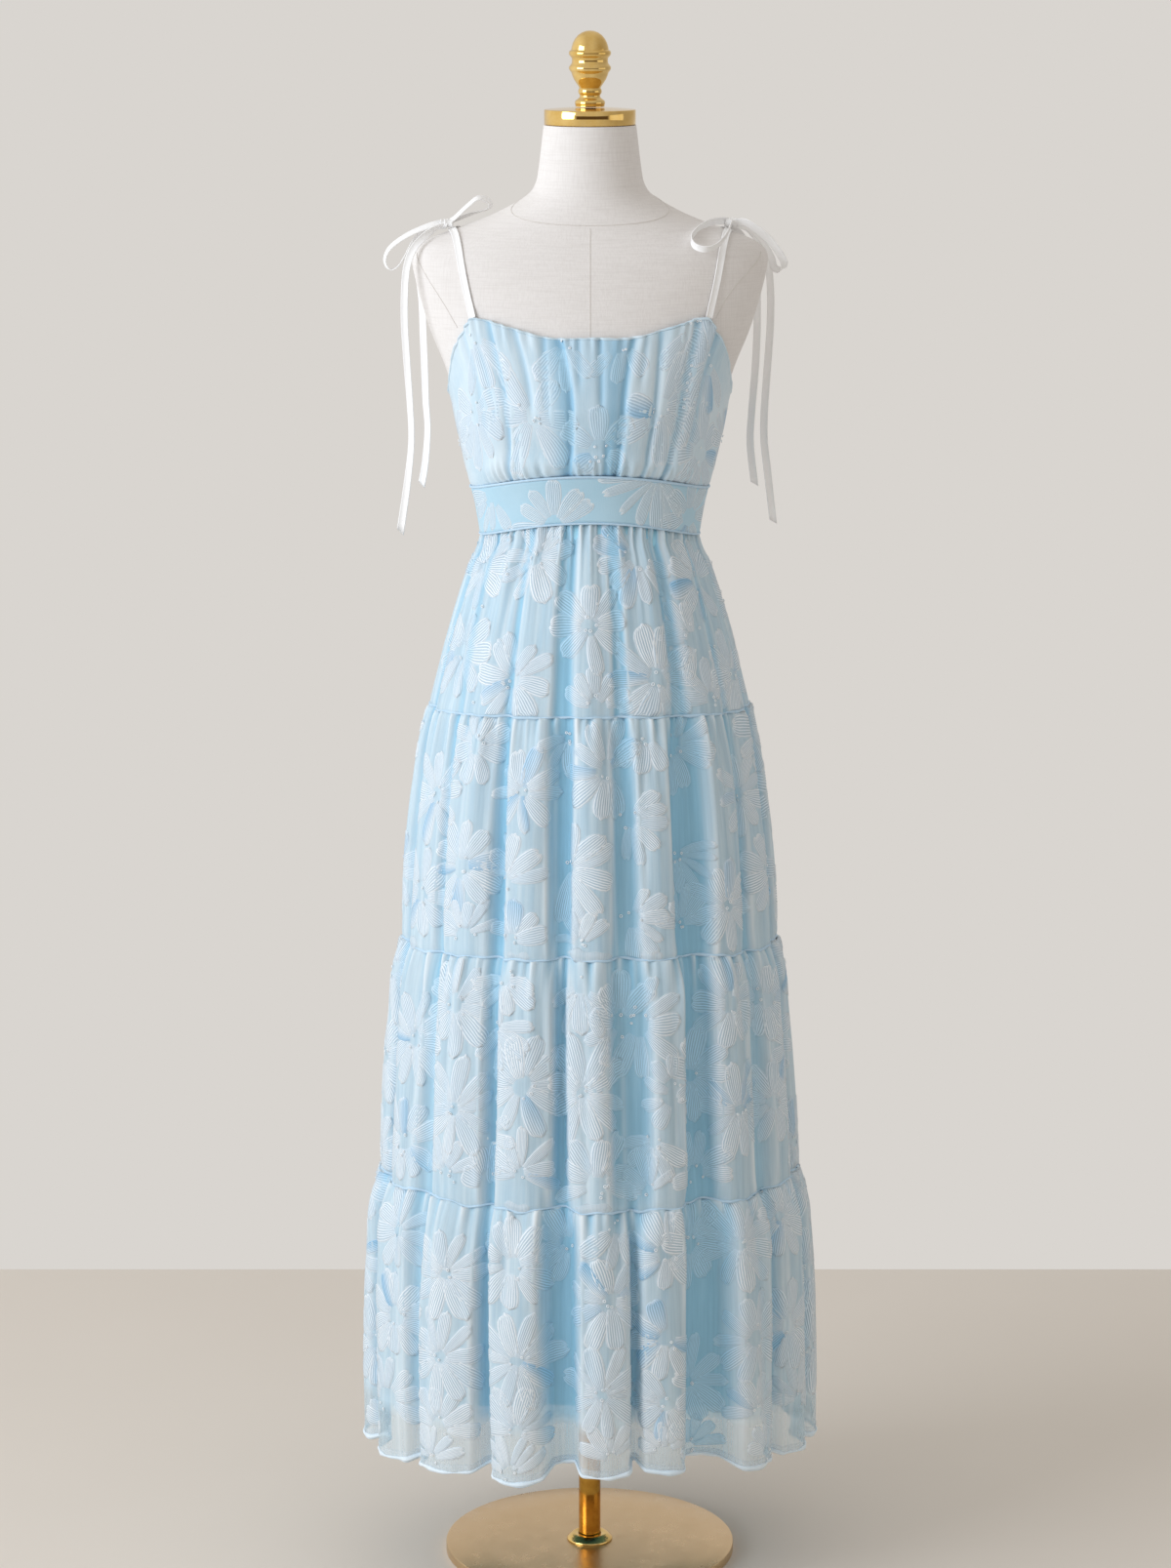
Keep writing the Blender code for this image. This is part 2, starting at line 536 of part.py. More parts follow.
def on_form(x, turn, lift):
    """A point of the form's skin, lifted off it, in the plane at x. The turn is 0 at the front and
    90 at the top of the shoulder."""
    way = Vector((0.0, -math.cos(math.radians(turn)), math.sin(math.radians(turn))))
    start = Vector((x, 0.0, 1.36))
    inside, outside = 0.0, 0.2
    for _ in range(40):
        middle = (inside + outside) / 2
        p = start + way * middle
        deep = read(FORM, "z", "front" if p.y < 0 else "back", p.z)
        if (p.x / read(FORM, "z", "wide", p.z)) ** 2 + (p.y / deep) ** 2 < 1:
            inside = middle
        else:
            outside = middle
    return start + way * (outside + lift)


def strap(name, finish, foot, head, turns, foot_out):
    """A strap that lies on the form from its foot at the bodice to its head at the knot."""
    route, across = [], []
    places = zip(spread(foot, head, STRAP_STEPS), spread(*turns, STRAP_STEPS))
    for step, (x, turn) in enumerate(places):
        lift = RIBBON_THICK / 2 + STRAP_CLEAR + foot_out * max(0.0, 1 - step / FOOT_STEPS)
        here = on_form(x, turn, lift)
        route.append(here)
        across.append(on_form(x + RIBBON_WIDE / 2, turn, lift) - here)
    return ribbon(name, finish, route, across)


def tie(name, rows, finish):
    route = smooth_route([(row["x"], row["y"], row["z"]) for row in rows], 2)
    across = []
    for i in range(len(route)):
        turn = math.radians(rows[min((i + 1) // 2, len(rows) - 1)]["turn"])
        across.append(Vector((math.cos(turn), math.sin(turn), 0.0)))
    return ribbon(name, finish, route, across)


def bow(side, finish):
    """A knot and its two loops, joined into one body."""
    knot_mesh = bpy.data.meshes.new(f"bow_{side}")
    shape = bmesh.new()
    bmesh.ops.create_cube(shape, size=1.0)
    bmesh.ops.scale(shape, vec=KNOT, verts=shape.verts)
    bmesh.ops.bevel(shape, geom=shape.edges[:], offset=0.003, segments=2, profile=0.6, affect="EDGES")
    bmesh.ops.translate(shape, vec=(KNOT_OUT[side], 0.0, KNOT_HEIGHT[side]), verts=shape.verts)
    shape.to_mesh(knot_mesh)
    shape.free()
    knot = add_object(f"bow_{side}", knot_mesh, finish)
    for part in ("low", "high"):
        loop = LOOPS[f"{side}_{part}"]
        route = smooth_route(loop["route"], 2)
        across = [Vector(loop["across"]) for _ in route]
        piece = ribbon(f"loop_{side}_{part}", None, route, across)
        piece.hide_render = True
        piece.display_type = "WIRE"
        join = knot.modifiers.new(f"join_{part}", "BOOLEAN")
        join.operation = "UNION"
        join.solver = "EXACT"
        join.object = piece
    return knot


# Form and stand


def form_body(finish):
    angles = spread(0.0, 360.0, FORM_COLUMNS)[:-1]
    points = []
    for row in FORM:
        points += [ring_point(a, row["wide"], row["front"], row["back"], row["z"]) for a in angles]
    count = len(angles)
    faces = [tuple(range(count))]
    for i in range(len(FORM) - 1):
        for j in range(count):
            a, b = i * count + j, i * count + (j + 1) % count
            faces.append((a, a + count, b + count, b))
    last = (len(FORM) - 1) * count
    faces.append(tuple(range(last + count - 1, last - 1, -1)))
    body = add_object("form_body", mesh_of("form_body", points, faces), finish)
    body.data.shade_smooth()
    body.data.set_sharp_from_angle(angle=math.radians(40))
    return body


def turned(name, outline, steps, finish, ring=False):
    """A shape turned on the pole's axis from an outline that runs down its outer side."""
    points = [(radius, 0.0, z) for radius, z in outline]
    edges = [(i, i + 1) for i in range(len(points) - 1)]
    if ring:
        edges.append((len(points) - 1, 0))
    mesh = bpy.data.meshes.new(name)
    mesh.from_pydata(points, edges, [])
    thing = add_object(name, mesh, finish)
    screw = thing.modifiers.new("turn", "SCREW")
    screw.axis = "Z"
    screw.steps = screw.render_steps = steps
    screw.use_merge_vertices = True
    screw.merge_threshold = 0.0001
    screw.use_smooth_shade = True
    return thing


def stand(brass, plate):
    rim = 0.0012
    turned("neck_cap", [
        (0.0, CAP_TOP + CAP_DOME), (0.60 * CAP_RADIUS, CAP_TOP + 0.72 * CAP_DOME),
        (CAP_RADIUS - rim, CAP_TOP), (CAP_RADIUS, CAP_TOP - rim),
        (CAP_RADIUS, CAP_BOTTOM + rim), (CAP_RADIUS - rim, CAP_BOTTOM), (0.0, CAP_BOTTOM),
    ], 40, brass)
    outline = [(row["radius"], row["z"]) for row in FINIAL]
    turned("finial", [*outline, (0.0, FINIAL[-1]["z"])], 20, brass)
    turned("pole", [
        (0.0, FORM_BOTTOM - SEAM_GAP), (POLE_RADIUS, FORM_BOTTOM - SEAM_GAP),
        (POLE_RADIUS, BASE_HEIGHT + SEAM_GAP), (0.0, BASE_HEIGHT + SEAM_GAP),
    ], 20, brass)
    low = BASE_HEIGHT + SEAM_GAP
    bore = POLE_RADIUS + SEAM_GAP + 0.0002
    turned("base_flange", [
        (bore, low + FLANGE_HEIGHT), (FLANGE_RADIUS - 0.006, low + FLANGE_HEIGHT),
        (FLANGE_RADIUS - 0.002, low + 0.55 * FLANGE_HEIGHT), (FLANGE_RADIUS, low + 0.2 * FLANGE_HEIGHT),
        (FLANGE_RADIUS, low), (bore, low),
    ], 24, brass, ring=True)
    turned("base_plate", [
        (0.0, BASE_HEIGHT), (BASE_RADIUS - BASE_EDGE, BASE_HEIGHT), (BASE_RADIUS, BASE_HEIGHT - BASE_EDGE),
        (BASE_RADIUS, 0.0), (0.0, 0.0),
    ], 56, plate)


def dress(organza, band, blue_lining, white):
    bodice_front(organza)
    bodice_back(organza)
    for side in ("front", "back"):
        waistband(side, band)
        lining_wall(side, blue_lining)
        for number in (1, 2, 3, 4):
            tier_wall(number, side, organza)
    for side in ("left", "right"):
        head = STRAP_HEAD[side]
        back_foot = math.copysign(BACK_STRAP_FOOT, head)
        strap(f"strap_front_{side}", white, STRAP_FOOT[side], head, FRONT_STRAP_TURNS, FRONT_FOOT_OUT)
        strap(f"strap_back_{side}", white, back_foot, head, BACK_STRAP_TURNS, BACK_FOOT_OUT)
        bow(side, white)
    for name, rows in TIES.items():
        tie(name, rows, white)


def main():
    clear_scene()
    linen = material("off_white_linen", (0.80, 0.77, 0.73), 0.85)
    brass = material("polished_brass", (0.83, 0.62, 0.27), 0.18, 1.0)
    plate = material("brushed_brass", (0.78, 0.64, 0.40), 0.35, 1.0)
    organza = material("embroidered_organza", (0.62, 0.80, 0.92), 0.55)
    band = material("blue_band_cloth", (0.55, 0.76, 0.90), 0.55)
    blue_lining = material("blue_lining", (0.45, 0.70, 0.88), 0.6)
    white = material("white_ribbon", (0.90, 0.90, 0.90), 0.5)
    form_body(linen)
    stand(brass, plate)
    dress(organza, band, blue_lining, white)


main()
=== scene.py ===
import math

import bpy
import numpy as np
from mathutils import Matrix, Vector


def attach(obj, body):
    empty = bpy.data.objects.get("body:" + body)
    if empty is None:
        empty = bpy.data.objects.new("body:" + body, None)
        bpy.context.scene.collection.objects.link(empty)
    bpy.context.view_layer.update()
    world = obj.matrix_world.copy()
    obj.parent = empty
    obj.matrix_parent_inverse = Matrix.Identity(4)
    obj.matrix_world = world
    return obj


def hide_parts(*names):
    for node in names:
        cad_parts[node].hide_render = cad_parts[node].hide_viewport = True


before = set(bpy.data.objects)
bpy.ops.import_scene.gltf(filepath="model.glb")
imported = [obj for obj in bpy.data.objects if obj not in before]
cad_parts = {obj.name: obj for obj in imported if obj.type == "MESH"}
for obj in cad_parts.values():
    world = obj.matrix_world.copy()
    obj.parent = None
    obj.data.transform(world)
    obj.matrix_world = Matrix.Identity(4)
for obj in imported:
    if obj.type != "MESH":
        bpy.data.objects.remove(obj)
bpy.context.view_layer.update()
bpy.context.scene.view_settings.view_transform = "Standard"
luck = np.random.default_rng(7)
print("frame loaded")

# Colours and materials ---


def toLinear(hexColour):
    parts = [int(hexColour[i:i + 2], 16) / 255 for i in (0, 2, 4)]
    return tuple(p / 12.92 if p <= 0.04045 else ((p + 0.055) / 1.055) ** 2.4 for p in parts) + (1.0,)


def addNode(tree, kind, values=None, links=None, **settings):
    node = tree.nodes.new(kind)
    for name, value in settings.items():
        setattr(node, name, value)
    for name, value in (values or {}).items():
        node.inputs[name].default_value = value
    for name, source in (links or {}).items():
        tree.links.new(source, node.inputs[name])
    return node


def newMaterial(name, look):
    made = bpy.data.materials.new(name)
    made.use_nodes = True
    shader = made.node_tree.nodes["Principled BSDF"]
    for socket, value in look.items():
        shader.inputs[socket].default_value = value
    return made, made.node_tree, shader


def blendColours(tree, factor, first, second):
    # a colour is a node's output or a hex value
    mix = addNode(tree, "ShaderNodeMix", data_type="RGBA")
    for socket, value in ((mix.inputs[0], factor), (mix.inputs[6], first), (mix.inputs[7], second)):
        if isinstance(value, str):
            socket.default_value = toLinear(value)
        else:
            tree.links.new(value, socket)
    return mix.outputs[2]


def ramp(tree, value, low, high, start=0.0, end=1.0):
    # value between low and high, spread from start to end
    node = addNode(tree, "ShaderNodeMapRange", {1: low, 2: high, 3: start, 4: end}, {0: value})
    return node.outputs[0]


def attribute(tree, name):
    return addNode(tree, "ShaderNodeAttribute", attribute_name=name).outputs[2]


def noise(tree, place, scale, detail, roughness=0.5):
    drawn = addNode(tree, "ShaderNodeMapping", {"Scale": scale}, {"Vector": place})
    made = addNode(tree, "ShaderNodeTexNoise", {"Scale": 1.0, "Detail": detail, "Roughness": roughness},
                   {"Vector": drawn.outputs[0]})
    return made.outputs[0]


def combined(tree, operation, first, second=None):
    links = {0: first} if second is None else {0: first, 1: second}
    return addNode(tree, "ShaderNodeMath", links=links, operation=operation).outputs[0]


def multiplyAdd(tree, value, factor, added):
    node = addNode(tree, "ShaderNodeMath", {1: factor}, {0: value, 2: added}, operation="MULTIPLY_ADD")
    return node.outputs[0]


def setLook(tree, shader, colour, height, strength, distance, alpha=None):
    # a cloth's colour, the relief of its threads and how sheer it is
    tree.links.new(colour, shader.inputs["Base Color"])
    bump = addNode(tree, "ShaderNodeBump", {"Strength": strength, "Distance": distance}, {"Height": height})
    tree.links.new(bump.outputs[0], shader.inputs["Normal"])
    if alpha is not None:
        tree.links.new(alpha, shader.inputs["Alpha"])


# what a cloth's points carry: how deep in a fold they lie, for painted shade; how near to a fold's edge, for
# painted highlights, which also go on the gathers' ridges and beside creases; how thin it looks
clothTones = ("recessShade", "edge", "thin")


def organza(name, look):
    # silk organza: sheer and crisp, whiter where its threads bunch; painted highlights make it whiter along
    # the edges of the folds, and painted shade makes it bluer down in the folds
    made, tree, shader = newMaterial(name, {
        "Roughness": 0.55, "Sheen Weight": 0.35, "Sheen Roughness": 0.35, "Specular IOR Level": 0.25})
    place = addNode(tree, "ShaderNodeUVMap", uv_map="cloth").outputs[0]
    recessShade, edge, thin = (attribute(tree, label) for label in clothTones)
    # threads bunch every 6 mm or so, in streaks about 150 mm long
    streaks = noise(tree, place, (170, 7, 1), 3.0, 0.6)
    clouds = noise(tree, place, (14, 9, 1), 2.0)
    colour = blendColours(tree, ramp(tree, streaks, 0.35, 0.68, 0.2, 0.8), look["shade"], look["light"])
    colour = blendColours(tree, ramp(tree, clouds, 0.35, 0.75, 0.0, 0.4), colour, look["light"])
    # painted shade: down in the folds the colour turns to the deep blue
    colour = blendColours(tree, ramp(tree, recessShade, 0.2, 0.95, 0.0, 0.8), colour, look["deep"])
    # painted highlight: whiter along the edges of the folds, on the gathers' ridges and beside the creases
    colour = blendColours(tree, ramp(tree, edge, 0.0, 1.0, 0.0, 0.8), colour, look["edge"])
    sheer = ramp(tree, streaks, 0.3, 0.75, look["alpha"] - 0.06, look["alpha"] + 0.08)
    thicker = multiplyAdd(tree, edge, 0.22, sheer)
    # below the lining's edge nothing lies behind the cloth, which looks thinner there
    setLook(tree, shader, colour, streaks, 0.1, 0.0006, multiplyAdd(tree, thin, -0.30, thicker))
    return made


def closeCloth(name, light, shade, deep, threadsPerMetre, sheen):
    # closely woven cloth: matte, with a faint rib, slow changes of tone where it is pulled, and painted shade
    # that makes it bluer down in its gathers
    made, tree, shader = newMaterial(name, {
        "Roughness": 0.62, "Sheen Weight": sheen, "Sheen Roughness": 0.4, "Specular IOR Level": 0.25})
    place = addNode(tree, "ShaderNodeUVMap", uv_map="cloth").outputs[0]
    weave = noise(tree, place, (threadsPerMetre, threadsPerMetre / 9, 1), 2.0)
    pull = noise(tree, place, (18, 12, 1), 3.0)
    recessShade = attribute(tree, "recessShade")
    colour = blendColours(tree, ramp(tree, pull, 0.3, 0.7), shade, light)
    colour = blendColours(tree, ramp(tree, weave, 0.3, 0.7, 0.0, 0.4), colour, light)
    # painted shade: down in the gathers the colour turns to the deep blue
    colour = blendColours(tree, ramp(tree, recessShade, 0.15, 0.9, 0.0, 0.75), colour, deep)
    setLook(tree, shader, colour, weave, 0.3, 0.0004)
    return made


def embroidery(name, gap, top, sheer, relief):
    # rayon satin stitch: glossy threads laid side by side along each petal, with the sheer cloth
    # showing between them, and a corded edge round the petal
    made, tree, shader = newMaterial(name, {
        "Roughness": 0.45, "Sheen Weight": 0.3, "Sheen Roughness": 0.3, "Specular IOR Level": 0.35})
    place = addNode(tree, "ShaderNodeUVMap", uv_map="petal").outputs[0]
    along, aside, _ = addNode(tree, "ShaderNodeSeparateXYZ", links={0: place}).outputs
    # nine rows to a petal: the real stitches lie 0.5 mm apart, and are drawn coarser, so that they show
    wave = {"Scale": 1.4, "Distortion": 1.3, "Detail": 3.0, "Detail Scale": 2.5}
    rows = addNode(tree, "ShaderNodeTexWave", wave, {"Vector": place}, bands_direction="Y").outputs[1]
    tint, glow, recessShade = (attribute(tree, label) for label in ("tint", "glow", "recessShade"))
    rim = ramp(tree, combined(tree, "ABSOLUTE", aside), 0.74, 0.92)
    cord = combined(tree, "MAXIMUM", rim, ramp(tree, along, 0.88, 0.97))
    thread = ramp(tree, rows, 0.2, 0.9)
    colour = blendColours(tree, thread, gap, top)
    colour = blendColours(tree, ramp(tree, glow, 0.0, 1.0, 0.0, 0.40), colour, "D3E7F6")
    colour = blendColours(tree, tint, colour, "84C2EA")
    colour = blendColours(tree, ramp(tree, cord, 0.0, 1.0, 0.0, 0.45), colour, "FBFDFF")
    # down in the folds the threads take the colour of the shaded cloth
    colour = blendColours(tree, ramp(tree, recessShade, 0.1, 0.9, 0.0, 0.78), colour, "A8DDF9")
    solid = multiplyAdd(tree, thread, 0.8, ramp(tree, cord, 0.0, 1.0, 0.0, 0.3))
    setLook(tree, shader, colour, rows, relief, 0.0005, ramp(tree, solid, 0.0, 1.0, sheer, 0.96))
    return made


def ribbonCloth():
    # woven polyester ribbon: white, slightly glossy, a fine rib across it
    made, tree, shader = newMaterial("whiteWovenRibbon", {
        "Roughness": 0.5, "Sheen Weight": 0.2, "Specular IOR Level": 0.35})
    place = addNode(tree, "ShaderNodeUVMap", uv_map="cloth").outputs[0]
    # ribs 0.8 mm apart
    ribs = addNode(tree, "ShaderNodeTexWave", {"Scale": 390.0, "Distortion": 0.5}, {"Vector": place},
                   bands_direction="Y").outputs[1]
    setLook(tree, shader, blendColours(tree, ribs, "F5F6F7", "FEFEFE"), ribs, 0.25, 0.0002)
    return made


def linenCloth(name, light, shade):
    # unbleached linen stretched over the form: slubs along both threads, matte
    made, tree, shader = newMaterial(name, {
        "Roughness": 0.85, "Sheen Weight": 0.15, "Specular IOR Level": 0.2})
    place = addNode(tree, "ShaderNodeTexCoord").outputs["Object"]
    # threads every 1.4 mm, drawn coarser than the real 0.6 mm, with slubs some 30 mm long
    slubs = [noise(tree, place, scale, 2.0) for scale in ((700, 700, 35), (35, 35, 700))]
    colour = light
    for threads in slubs:
        colour = blendColours(tree, ramp(tree, threads, 0.42, 0.8, 0.0, 0.5), colour, shade)
    setLook(tree, shader, colour, combined(tree, "ADD", *slubs), 0.35, 0.0005)
    return made


def brass(name, light, shade, roughness):
    # lacquered brass, polished or satin: warm yellow, with faint rubbing marks in its gloss
    made, tree, shader = newMaterial(name, {"Metallic": 1.0})
    place = addNode(tree, "ShaderNodeTexCoord").outputs["Object"]
    marks = noise(tree, place, (55, 55, 55), 6.0, 0.65)
    tree.links.new(blendColours(tree, ramp(tree, marks, 0.3, 0.7), shade, light), shader.inputs["Base Color"])
    gloss = ramp(tree, marks, 0.3, 0.75, roughness * 0.75, roughness * 1.3)
    tree.links.new(gloss, shader.inputs["Roughness"])
    return made


# an organza's deep colour is the painted shade down in its folds, its edge colour the painted highlight
skirtCloth = organza("skyBlueOrganza", {
    "light": "E1F2FA", "shade": "C7E6F8", "deep": "9EDDFA", "edge": "F6FBFE", "alpha": 0.58})
hemCloth = organza("doubledOrganza", {
    "light": "F2F8FC", "shade": "D3E8F6", "deep": "BBDCF2", "edge": "F6FAFD", "alpha": 0.50})
# close cloths: two tones of the cloth, then the colour of the painted shade down in its gathers
bodiceCloth = closeCloth("linedOrganza", "D9E8F1", "B2CFE0", "7AB7D9", 700, 0.5)
bandCloth = closeCloth("blueBandCloth", "B8D8E9", "A7CFE3", "8BC9EA", 900, 0.35)
liningCloth = closeCloth("blueLining", "B4E8FC", "A4E0FA", "8AC9EB", 800, 0.2)
seamCloth = closeCloth("foldedOrganza", "E6F1F8", "D3E6F4", "A9D0EC", 500, 0.5)
cordCloth = closeCloth("gatheredSeamOrganza", "C4DDEF", "B2D1E8", "A0CAE9", 500, 0.3)
stitches = embroidery("satinStitchThread", "D4E8F6", "F7FBFE", 0.58, 0.28)
closeStitches = embroidery("flatSatinStitchThread", "D0E3F1", "E9F3FA", 0.66, 0.06)
bandStitches = embroidery("paleSatinStitchThread", "CBE3F1", "ECF6FB", 0.50, 0.10)
ribbonWhite = ribbonCloth()
linen = linenCloth("naturalLinen", "E8E5E3", "D9D5D2")
linenSeam = linenCloth("linenSeam", "DDD9D4", "D1CCC6")
polishedBrass = brass("polishedBrass", "EFCF8A", "DDB564", 0.07)
# painted shade: a darker copy of the polished brass, which stands in for the darker reflections on the pole
darkerPoleBrass = brass("darkenedPolishedBrass", "D9A64A", "AD7628", 0.06)
satinBrass = brass("satinBrass", "DDC096", "D6B98F", 0.32)
# clear moulded sequin, slightly blue, with a hard gloss
sequinClear = newMaterial("clearSequin", {
    "Base Color": toLinear("F6FBFF"), "Roughness": 0.22, "Specular IOR Level": 0.6, "Coat Weight": 0.3,
    "Coat Roughness": 0.1})[0]
print("materials made")

# Meshes ---


def onlySelect(piece):
    bpy.ops.object.select_all(action="DESELECT")
    piece.select_set(True)
    bpy.context.view_layer.objects.active = piece


def addPiece(name, points, faces, finish, uvs=None, uvName="cloth"):
    mesh = bpy.data.meshes.new(name)
    faces = faces if isinstance(faces, list) else faces.tolist()
    mesh.from_pydata(np.asarray(points).reshape(-1, 3).tolist(), [], faces)
    if uvs is not None:
        layer = mesh.uv_layers.new(name=uvName)
        layer.data.foreach_set("uv", np.asarray(uvs, np.float32).ravel())
    mesh.update()
    piece = bpy.data.objects.new(name, mesh)
    bpy.context.scene.collection.objects.link(piece)
    mesh.materials.append(finish)
    mesh.shade_smooth()
    return piece


def declare(piece, slotName, *nodes):
    # all pieces stand on the one body; nodes are the solids that a piece takes the place of
    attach(piece, "root")
    if nodes:
        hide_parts(*nodes)
    return piece


def gridFaces(down, across, wrap):
    index = np.arange(down * across).reshape(down, across)
    right = np.roll(index, -1, axis=1)
    if not wrap:
        index, right = index[:, :-1], right[:, :-1]
    return np.stack([index[:-1], index[1:], right[1:], right[:-1]], -1).reshape(-1, 4)


def gridUvs(uv, wrap, turn=0.0):
    # turn is the length once round, so that the last column's faces don't run backwards
    right = np.roll(uv, -1, axis=1)
    if wrap:
        right[:, -1, 0] += turn
    else:
        uv, right = uv[:, :-1], right[:, :-1]
    return np.stack([uv[:-1], uv[1:], right[1:], right[:-1]], -2).reshape(-1, 2)


def uvGrid(across, down):
    return np.stack(np.broadcast_arrays(across[None, :], down[:, None]), -1).copy()


def thicken(piece, thickness):
    wall = piece.modifiers.new("wall", "SOLIDIFY")
    wall.thickness = thickness
    wall.offset = -1.0
    onlySelect(piece)
    bpy.ops.object.modifier_apply(modifier=wall.name)


def unit(vectors):
    return vectors / np.linalg.norm(vectors, axis=-1, keepdims=True)


def distancesAlong(points):
    return np.concatenate([[0.0], np.cumsum(np.linalg.norm(np.diff(points, axis=0), axis=1))])


def aroundRing(ring):
    # how far each point lies along the closed ring, and its whole length
    steps = np.linalg.norm(np.roll(ring, -1, axis=0) - ring, axis=1)
    return np.concatenate([[0.0], np.cumsum(steps)[:-1]]), steps.sum()


def joinedRows(*stretches):
    # shares from 0 to 1, in stretches with a start, an end and a count of their own
    return np.concatenate([np.linspace(*stretch)[min(i, 1):] for i, stretch in enumerate(stretches)])


def curveThrough(places, values, at):
    # a smooth curve through the values, level at its ends only where they are
    places, values = np.asarray(places, float), np.asarray(values, float)
    slope = np.gradient(values, places)
    at = np.clip(at, places[0], places[-1])
    low = np.clip(np.searchsorted(places, at, side="right") - 1, 0, len(places) - 2)
    gap = places[low + 1] - places[low]
    t = (at - places[low]) / gap
    return ((1 + 2 * t) * (1 - t) ** 2 * values[low] + t * (1 - t) ** 2 * gap * slope[low]
            + t * t * (3 - 2 * t) * values[low + 1] + t * t * (t - 1) * gap * slope[low + 1])


def smoothStep(t):
    t = np.clip(t, 0, 1)
    return t * t * (3 - 2 * t)


def bell(away, width):
    return np.exp(-((away / width) ** 2))


def lookUp(rows, at):
    # every further column of the rows, at a value of the first one, which rises
    first, *columns = np.array(rows).T
    return [np.interp(at, first, column) for column in columns]


def onRing(angle, wide, front, back, z):
    turn = np.radians(angle)
    deep = np.where(np.cos(turn) > 0, front, back)
    return np.stack([wide * np.sin(turn), -deep * np.cos(turn), z + 0 * turn], -1)


def movedIn(points, distance):
    moved = points.copy()
    moved[..., :2] -= unit(points[..., :2]) * np.asarray(distance)[..., None]
    return moved


def fromFront(angle):
    # the angle within half a turn to either side
    return (angle + 180.0) % 360.0 - 180.0


def frontness(angle):
    return np.maximum(0.0, np.cos(np.radians(angle))) ** 2


def ripple(angle, z, number, size):
    # slow unevenness of hanging cloth
    turn = np.radians(angle)
    return size * (0.5 * np.sin(5 * turn + 9 * z + number) + 0.35 * np.sin(11 * turn - 14 * z + 2.3 * number)
                   + 0.3 * np.sin(17 * turn + 23 * z + 0.7 * number))


# Form ---

tenths = 10000  # tenths of a millimetre in a metre: the tables of whole numbers below are in those
seamGap = 0.0002  # what stays open between two cloths that are sewn together

form = {
    "sections": [  # height, half width, depth in front of and behind the pole
        (15541, 479, 478, 480), (15100, 532, 510, 530), (14935, 568, 525, 555), (14815, 660, 540, 590),
        (14670, 910, 566, 645), (14590, 1085, 585, 665), (14510, 1295, 605, 685), (14430, 1525, 628, 705),
        (14360, 1700, 655, 725), (14285, 1808, 688, 745), (14180, 1852, 730, 770),
        (14000, 1828, 785, 805), (13700, 1752, 865, 845), (13400, 1655, 945, 870),
        (13050, 1512, 1020, 885), (12700, 1412, 1055, 885), (12000, 1245, 925, 840),
        (11650, 1162, 850, 800), (11250, 1088, 808, 773), (10800, 1150, 850, 850),
        (9600, 1385, 1030, 1100), (9050, 1375, 1020, 1100), (8700, 1270, 930, 1010),
        (8550, 1120, 810, 880)],
    "columns": 104,
    "ringsPerSection": 4,
    "sharp": 50,
}
formTable = np.array(form["sections"]) / tenths


def formAt(z):
    return lookUp(formTable[::-1], z)


def smoothForm(step):
    # height, half width and depths at a section number, which may lie between two
    numbers = np.arange(len(formTable))
    return [curveThrough(numbers, formTable[:, column], step) for column in range(4)]


def sectionOf(z):
    steps = np.linspace(0, len(formTable) - 1, 900)
    heights = smoothForm(steps)[0]
    return np.interp(-np.asarray(z), -heights, steps)


def formPoint(angle, step):
    z, wide, front, back = smoothForm(step)
    return onRing(angle, wide, front, back, z)


def makeForm():
    steps = np.linspace(0, len(formTable) - 1, (len(formTable) - 1) * form["ringsPerSection"] + 1)
    angles = np.arange(form["columns"]) * 360.0 / form["columns"]
    rings = np.array([formPoint(angles, np.full(len(angles), step)) for step in steps])
    faces = gridFaces(len(steps), len(angles), True).tolist()
    last = (len(steps) - 1) * len(angles)
    faces.append(list(range(len(angles))))
    faces.append(list(range(last + len(angles) - 1, last - 1, -1)))
    shell = addPiece("dressForm", rings, faces, linen)
    shell.data.set_sharp_from_angle(angle=math.radians(form["sharp"]))
    declare(shell, "linen", "form_body")


formSeams = {
    "radius": 0.0005,
    "neck": [(a, 1.4548 + 0.0222 * (1 - math.cos(math.radians(a)))) for a in range(-58, 303, 4)],
    "centreFront": [(0.0, z / 1000) for z in range(1452, 1330, -8)],
    "centreBack": [(180.0, z / 1000) for z in range(1480, 1270, -8)],
    "armholeLeft": [(-77.0, 1.4240), (-73.0, 1.4150), (-68.0, 1.4020), (-62.5, 1.3860), (-58.0, 1.3700),
                    (-54.0, 1.3500)],
    "armholeRight": [(75.0, 1.4250), (69.5, 1.4170), (62.0, 1.4050), (56.0, 1.3930), (51.5, 1.3780),
                     (49.0, 1.3600)],
}


def makeSeamCord(name, route, radius):
    # a thin cord half sunk in the surface
    rows = []
    for before, here, after in zip([route[0], *route[:-1]], route, [*route[1:], route[-1]]):
        way = unit(after - before)
        level = np.array([here[0], here[1], 0.0])
        out = unit(level - way * level.dot(way))
        side = np.cross(way, out)
        rows.append([here + radius * (math.cos(t) * out + math.sin(t) * side)
                     for t in np.arange(6) * math.pi / 3])
    return addPiece(name, rows, gridFaces(len(rows), 6, True)[:, ::-1], linenSeam)


def makeFormSeams():
    for name in ("neck", "centreFront", "centreBack", "armholeLeft", "armholeRight"):
        table = np.array(formSeams[name])
        fine = np.linspace(0, len(table) - 1, len(table) * 4)
        angles, heights = (np.interp(fine, np.arange(len(table)), column) for column in table.T)
        route = formPoint(angles, sectionOf(heights))
        declare(makeSeamCord(name + "Seam", route, formSeams["radius"]), "linen")


makeForm()
makeFormSeams()
print("form made")

# Bodice and waistband ---

